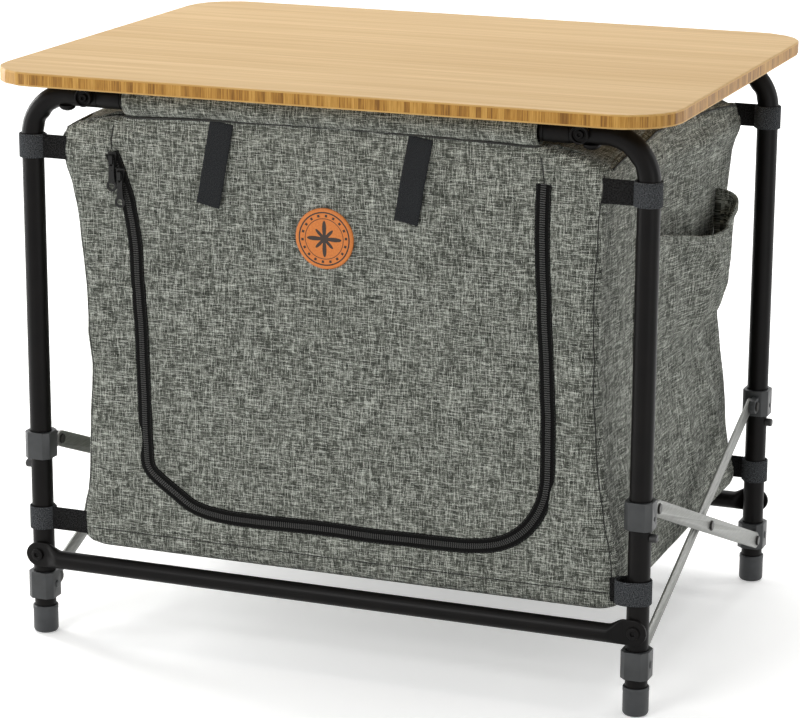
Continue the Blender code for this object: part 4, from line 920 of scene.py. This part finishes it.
def make_seams():
    """The front's seams, the one under the sleeve drawn thick and dark as a painted shadow line too, and a row of
    grey stitches below the sleeve and above the base.
    """
    x = np.linspace(-SEAM_X, SEAM_X, 120)

    def under_sleeve(z, lift):
        _, y, height = front_place(1 + (x + SEAM_X) / (2 * SEAM_X), np.full_like(x, z))
        return np.stack([x, y - lift, height], 1)
    # a dark thread tube 1 mm thick: partly the real seam under the sleeve, partly painted shadow where the sleeve
    # overhangs the cloth
    seam("sleeve_seam_and_shadow_front", under_sleeve(SEAM_Z, 0.0020), 0.0010)
    for (sign, side), table in zip(SIDES, (LEFT_EDGE, RIGHT_EDGE)):
        z = np.linspace(0.0955, 0.4535, 160)
        inset = 0.0030 + 0.0007 * lattice(z, z, 0.03, 81)
        seam("corner_seam_" + side, on_front(curve_at(table, z) - sign * inset, z, 0.0013), 0.0006)
    base_x = np.linspace(-0.222, 0.250, 140)
    base_z = np.full_like(base_x, FLOOR_Z + 0.0155)
    seam("base_seam_front", on_front(base_x, base_z, 0.0011), 0.0005)
    for (_, side), table in zip(SIDES, (ZIP_LEFT, ZIP_RIGHT)):
        z = np.linspace(0.443, 0.4635, 24)
        seam("zip_end_seam_" + side, on_front(curve_at(table, z), z, 0.0010), 0.0006)
    rows = [under_sleeve(SEAM_Z - 0.0045, 0.0013), on_front(base_x, base_z + 0.0026, 0.0013)]
    bars("front_stitches", [(row, unit(np.gradient(row, axis=0))) for row in rows], 0.0034, 0.0003, 0.0024,
         GREY_THREAD)


# ---------------------------------------------------------------- frame pieces in place of CAD nodes
def plain(name, shape, material, body, node, sharp=40):
    """A hard piece at the origin that rides on a body and stands in for a CAD node."""
    points, faces = shape
    obj = build(name, points, faces, np.zeros((len(points), 3)), material)
    work = bmesh.new()
    work.from_mesh(obj.data)
    bmesh.ops.recalc_face_normals(work, faces=work.faces)
    work.to_mesh(obj.data)
    work.free()
    obj.data.set_sharp_from_angle(angle=math.radians(sharp))
    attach(obj, body)
    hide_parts(node)


def skin(rings, first=True, last=True):
    """Points and faces over closed rings of equal count, with the first and last filled in."""
    count, rows = len(rings[0]), len(rings)
    faces = quads(rows, count, True)
    if first:
        faces.append(tuple(range(count)))
    if last:
        faces.append(tuple(range((rows - 1) * count, rows * count)))
    return [p for ring in rings for p in ring], faces


def lathe(profile, axis, origin, sides=48):
    """Points and faces of a profile of (radius, height) turned about an axis."""
    axis = np.array(axis, float)
    side = np.array([0.0, 0.0, 1.0]) if abs(axis[2]) < 0.5 else np.array([1.0, 0.0, 0.0])
    third = np.cross(axis, side)
    rings = [[np.array(origin) + axis * height + radius * (math.cos(t) * side + math.sin(t) * third)
              for t in turns(sides)] for radius, height in profile]
    return skin(rings, profile[0][0] > 0, profile[-1][0] > 0)


def merged(*shapes):
    points, faces = [], []
    for more_points, more_faces in shapes:
        base = len(points)
        points += list(more_points)
        faces += [tuple(i + base for i in face) for face in more_faces]
    return points, faces


def leg_shape(sx, sy):
    """The bent tube, pressed a little flat and puckered on the inside of its bend, and its plug button."""
    x0, y0 = sx * LEG_X, sy * LEG_Y
    bend_steps, sides = 48, 44
    # x, z, how far the tube has turned, and how far along the bend it is
    path = [(x0, z, 0.0, -1.0) for z in np.linspace(0.0035, RAIL_Z - BEND_R - 0.004, 24)]
    for share in (k / bend_steps for k in range(bend_steps + 1)):
        t = math.pi / 2 * share
        path.append((sx * (LEG_X - BEND_R + BEND_R * math.cos(t)), RAIL_Z - BEND_R + BEND_R * math.sin(t),
                     t, share))
    path += [(sx * a, RAIL_Z, math.pi / 2, 2.0) for a in np.linspace(LEG_X - BEND_R - 0.003, LEG_X - 0.065, 6)]
    rings = []
    for x, z, turn, share in path:
        nx, nz = -sx * math.cos(turn), -math.sin(turn)
        within = math.sin(math.pi * share) if 0 <= share <= 1 else 0.0
        pucker = 0.07 + 0.07 * math.cos(2 * math.pi * share * 3.5) * math.exp(-((share - .32) / .25) ** 2)
        ring = []
        for angle in turns(sides):
            inner = max(0.0, math.cos(angle))
            radius = TUBE_R * (1 - within ** 0.6 * inner ** 1.5 * pucker)
            ring.append((x + nx * radius * math.cos(angle), y0 + TUBE_R * math.sin(angle),
                         z + nz * radius * math.cos(angle)))
        rings.append(ring)
    plug_x = LEG_X - 0.0485 if sx > 0 else -(LEG_X - 0.034)
    dome = [(.0022, .0), (.0024, .0088), (.0072, .0092), (.0072, .0100), (.0062, .0118), (.0042, .0132),
            (.0018, .0139), (0, .0140)]
    return merged(skin(rings), lathe(dome, (0, 0, -1), (plug_x, y0, RAIL_Z), 32))


def foot_profile():
    """A cup from its rim inside the leg's end, over its lip and down to the middle of its base."""
    inner, outer = 0.0097, 0.0112
    return [(inner, .0222), (inner, .0247), (inner + .0003, .0250), (outer - .0007, .0250), (outer - .0002, .0247),
            (outer, .0241), (outer, .0215), (outer - .0002, .0205), (outer - .0002, .0030), (outer - .0006, .0016),
            (outer - .0014, .0006), (outer - .0026, .0001), (outer - .0034, 0), (0, 0)]


def coupling_shape(sx, sy):
    """The moulded joint on the leg's end and the dished bolt through it."""
    end, y = sx * 0.1842, sy * LEG_Y
    body = [(.0081, .0), (.0092, .0), (.0097, .0005), (.0097, .0022), (.0092, .0027), (.0090, .0030),
            (.0092, .0034), (.0097, .0039), (.0097, .0244), (.0095, .0249), (.0093, .0250)]
    cup = [(.0072, .0070), (.0074, .0098), (.0078, .0101), (.0078, .0128), (.0075, .0134), (.0069, .0136),
           (.0063, .0134), (.0060, .0128), (.0059, .0112), (.0034, .0110), (.0033, .0127), (.0030, .0131),
           (.0018, .0131), (.0016, .0128), (.0015, .0116), (0, .0116)]
    bolt = lathe(cup, (0, sy, 0), (sx * (LEG_X - 0.0551), y, RAIL_Z), 36)
    return merged(lathe(body, (sx, 0, 0), (end, y, RAIL_Z)), bolt)


def bottom_rail_shape(sy):
    """A tube pressed flat into an ear at each end, with the screws' dished heads."""
    y, end, flat, neck = sy * EAR_Y, 0.011, .0014, LEG_X - .0085
    sides, square = 40, 0.35
    # x, half depth, half height, middle height and how round the section is, from square to 1
    half = [(LEG_X + end * share, flat, end * math.sqrt(1 - share ** 2), EAR_Z, square)
            for share in (.999, .97, .90, .78, .60, .40, .20, 0.0)]
    half.append((neck, flat, end, EAR_Z, square))
    for share in (.10, .22, .36, .50, .64, .78, .90, 1.0):
        blend = ease(share)
        half.append((neck - .014 * share, flat + (THIN_R - flat) * blend ** .8, end - .003 * blend,
                     EAR_Z + (BOTTOM_RAIL_Z - EAR_Z) * blend, square + (1 - square) * blend ** 0.6))
    half += [((neck - .014) * (1 - share), THIN_R, THIN_R, BOTTOM_RAIL_Z, 1.0)
             for share in np.linspace(0.04, 1, 8)]
    rings = []
    for x, depth, height, z, power in half + [(-x, *rest) for x, *rest in reversed(half[:-1])]:
        ring = []
        for angle in turns(sides):
            c, t = math.cos(angle), math.sin(angle)
            ring.append((x, y + depth * math.copysign(abs(c) ** power, c),
                         z + height * math.copysign(abs(t) ** power, t)))
        rings.append(ring)
    head = [(.0050, .0), (.0055, .0004), (.0055, .0012), (.0051, .0019), (.0042, .0023), (.0026, .0024),
            (.0023, .0022), (.0021, .0008), (0, .0008)]
    heads = [lathe(head, (0, sy, 0), (sx * LEG_X, y + sy * .0013, EAR_Z), 30) for sx, _ in SIDES]
    return merged(skin(rings), *heads)


def make_frame():
    for sy, place, body in ENDS:
        for sx, side in SIDES:
            foot = lathe(foot_profile(), (0, 0, 1), (sx * LEG_X, sy * LEG_Y, 0))
            plain(f"{place}_leg_tube_{side}", leg_shape(sx, sy), TUBE, body, f"{place}_leg_{side}", 50)
            plain(f"{place}_foot_cap_{side}", foot, FOOT, body, f"{place}_foot_{side}")
            plain(f"{place}_coupling_body_{side}", coupling_shape(sx, sy), TUBE, body,
                  f"{place}_coupling_{side}")
        plain(f"{place}_bottom_rail_tube", bottom_rail_shape(sy), TUBE, body, f"{place}_bottom_rail", 28)


def softened(name, width, material, body, segments=2):
    """A copy of a CAD node with rounded edges, in place of that node."""
    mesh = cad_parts[name].data.copy()
    obj = new_object(name + "_rounded", mesh)
    work = bmesh.new()
    work.from_mesh(mesh)
    bmesh.ops.remove_doubles(work, verts=work.verts, dist=1e-5)
    bmesh.ops.dissolve_limit(work, angle_limit=math.radians(1.0), verts=work.verts, edges=work.edges)
    work.to_mesh(mesh)
    work.free()
    given(obj.modifiers.new("edge", "BEVEL"), width=width, segments=segments, limit_method="ANGLE",
          angle_limit=math.radians(32), harden_normals=False)
    finish_mesh(obj)
    coat(obj.data, material, 50)
    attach(obj, body)
    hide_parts(name)


def dress_nodes():
    """Collars and bars get rounded copies, and the nodes that stay get their materials."""
    finishes = (("rail", TUBE), ("button", BUTTON), ("zip_", ZIP_METAL), ("pivot", RIVET), ("rivet", RIVET),
                ("bamboo_board", BAMBOO), ("", CLOTH_BOARD))
    for name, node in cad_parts.items():
        place, side = name.split("_")[0], name.split("_")[-1]
        if "fixed_collar" in name:
            softened(name, 0.0007, NYLON, place + "_frame")
        elif "sliding_collar" in name:
            softened(name, 0.0007, NYLON, f"{place}_collar_{side}")
        elif "brace_bar" in name:
            softened(name, 0.0003, STRIP, f"{place}_bar_{side}", 1)
        else:
            finish = next(material for word, material in finishes if word in name)
            for index in range(len(node.material_slots)):
                node.material_slots[index].material = finish


# ---------------------------------------------------------------- camera, light, floor
def make_stage():
    """A pale floor that a camera or gloss ray sees nearly white, and that keeps the object's shadow."""
    mesh = bpy.data.meshes.new("studio_floor")
    mesh.from_pydata([(-8, -8, 0), (8, -8, 0), (8, 12, 0), (-8, 12, 0)], [], [(0, 1, 2, 3)])
    made, put, shader = new_material("pale_studio_floor", Base_Color="#f4f4f3", Roughness=0.9,
                                     Specular_IOR_Level=0.1, Emission_Color="#ffffff")
    ray = put("ShaderNodeLightPath").node.outputs
    seen = put("MAXIMUM", ray["Is Camera Ray"], ray["Is Glossy Ray"])
    fill(shader, Emission_Strength=put("MULTIPLY", seen, 0.40))
    mesh.materials.append(made)
    floor = new_object("studio_floor", mesh)
    floor.location.z = -0.0004


def area_light(name, place, target, power, width, height):
    light = given(bpy.data.lights.new(name, "AREA"), energy=power, shape="RECTANGLE", size=width, size_y=height)
    turn = (Vector(target) - Vector(place)).to_track_quat("-Z", "Y").to_euler()
    given(new_object(name, light), location=place, rotation_euler=turn, visible_camera=False)


def make_lights():
    """Soft studio light, with a world that is white where it is seen or mirrored and 0.25 as light."""
    scene.world = scene.world or bpy.data.worlds.new("studio")
    scene.world.use_nodes = True
    tree = scene.world.node_tree
    put = partial(add, tree)
    ray = put("ShaderNodeLightPath").node.outputs
    seen = put("MAXIMUM", ray["Is Camera Ray"], ray["Is Glossy Ray"])
    seen = put("MAXIMUM", seen, ray["Is Transmission Ray"])
    fill(tree.nodes["Background"], Color="#ffffff", Strength=put("MULTIPLY_ADD", seen, 0.75, 0.25))
    area_light("key_softbox", (-0.95, -2.75, 2.0), (0, 0, 0.25), 35, 1.2, 1.2)
    area_light("right_softbox", (1.8, -1.2, 0.45), (0.1, 0, 0.28), 5.4, 0.75, 0.84)
    area_light("left_strip", (-1.9, -0.85, 0.45), (-0.1, 0, 0.28), 8.5, 0.35, 0.84)
    area_light("left_back_strip", (-1.9, 0.5, 0.9), (-0.1, 0, 0.3), 27, 0.5, 1.6)
    area_light("right_back_strip", (2.0, 1.3, 0.9), (0.1, 0, 0.3), 9, 0.3, 1.6)
    area_light("top_softbox", (0.0, 0.4, 2.4), (0, 0, 0.4), 29, 2.0, 2.0)
    area_light("backdrop_wash", (0.0, 3.2, 3.0), (0, 5.5, 0), 150, 4.0, 4.0)


def make_camera():
    """The camera that was fitted to the photograph."""
    camera = given(bpy.data.cameras.new("camera"), sensor_width=36, lens=136.07, shift_x=-0.00035,
                   shift_y=0.0441, clip_start=0.05)
    scene.camera = new_object("camera", camera)
    turn = Vector((-0.34711903, 0.89938319, -0.26574095)).to_track_quat("-Z", "Y").to_matrix()
    roll = Matrix.Rotation(math.radians(0.2796), 3, "Z")
    place = Matrix.Translation((0.93874859, -2.45384047, 0.92343919))
    scene.camera.matrix_world = place @ (turn @ roll).to_4x4()


dress_nodes()
make_frame()
make_front()
make_zip()
for end in ENDS:
    make_sleeve(*end)
soft = [make_side(*side) for side in SIDES]
make_back()
soft += [make_top(), make_floor(), *make_pocket()]
soft += [make_side_seam(*side) for side in SIDES]
make_straps()
make_ties()
make_patch()
make_pulls()
make_seams()
for piece in soft:
    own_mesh(piece)
make_stage()
make_lights()
make_camera()
scene.view_settings.view_transform = "Standard"
bpy.context.view_layer.update()
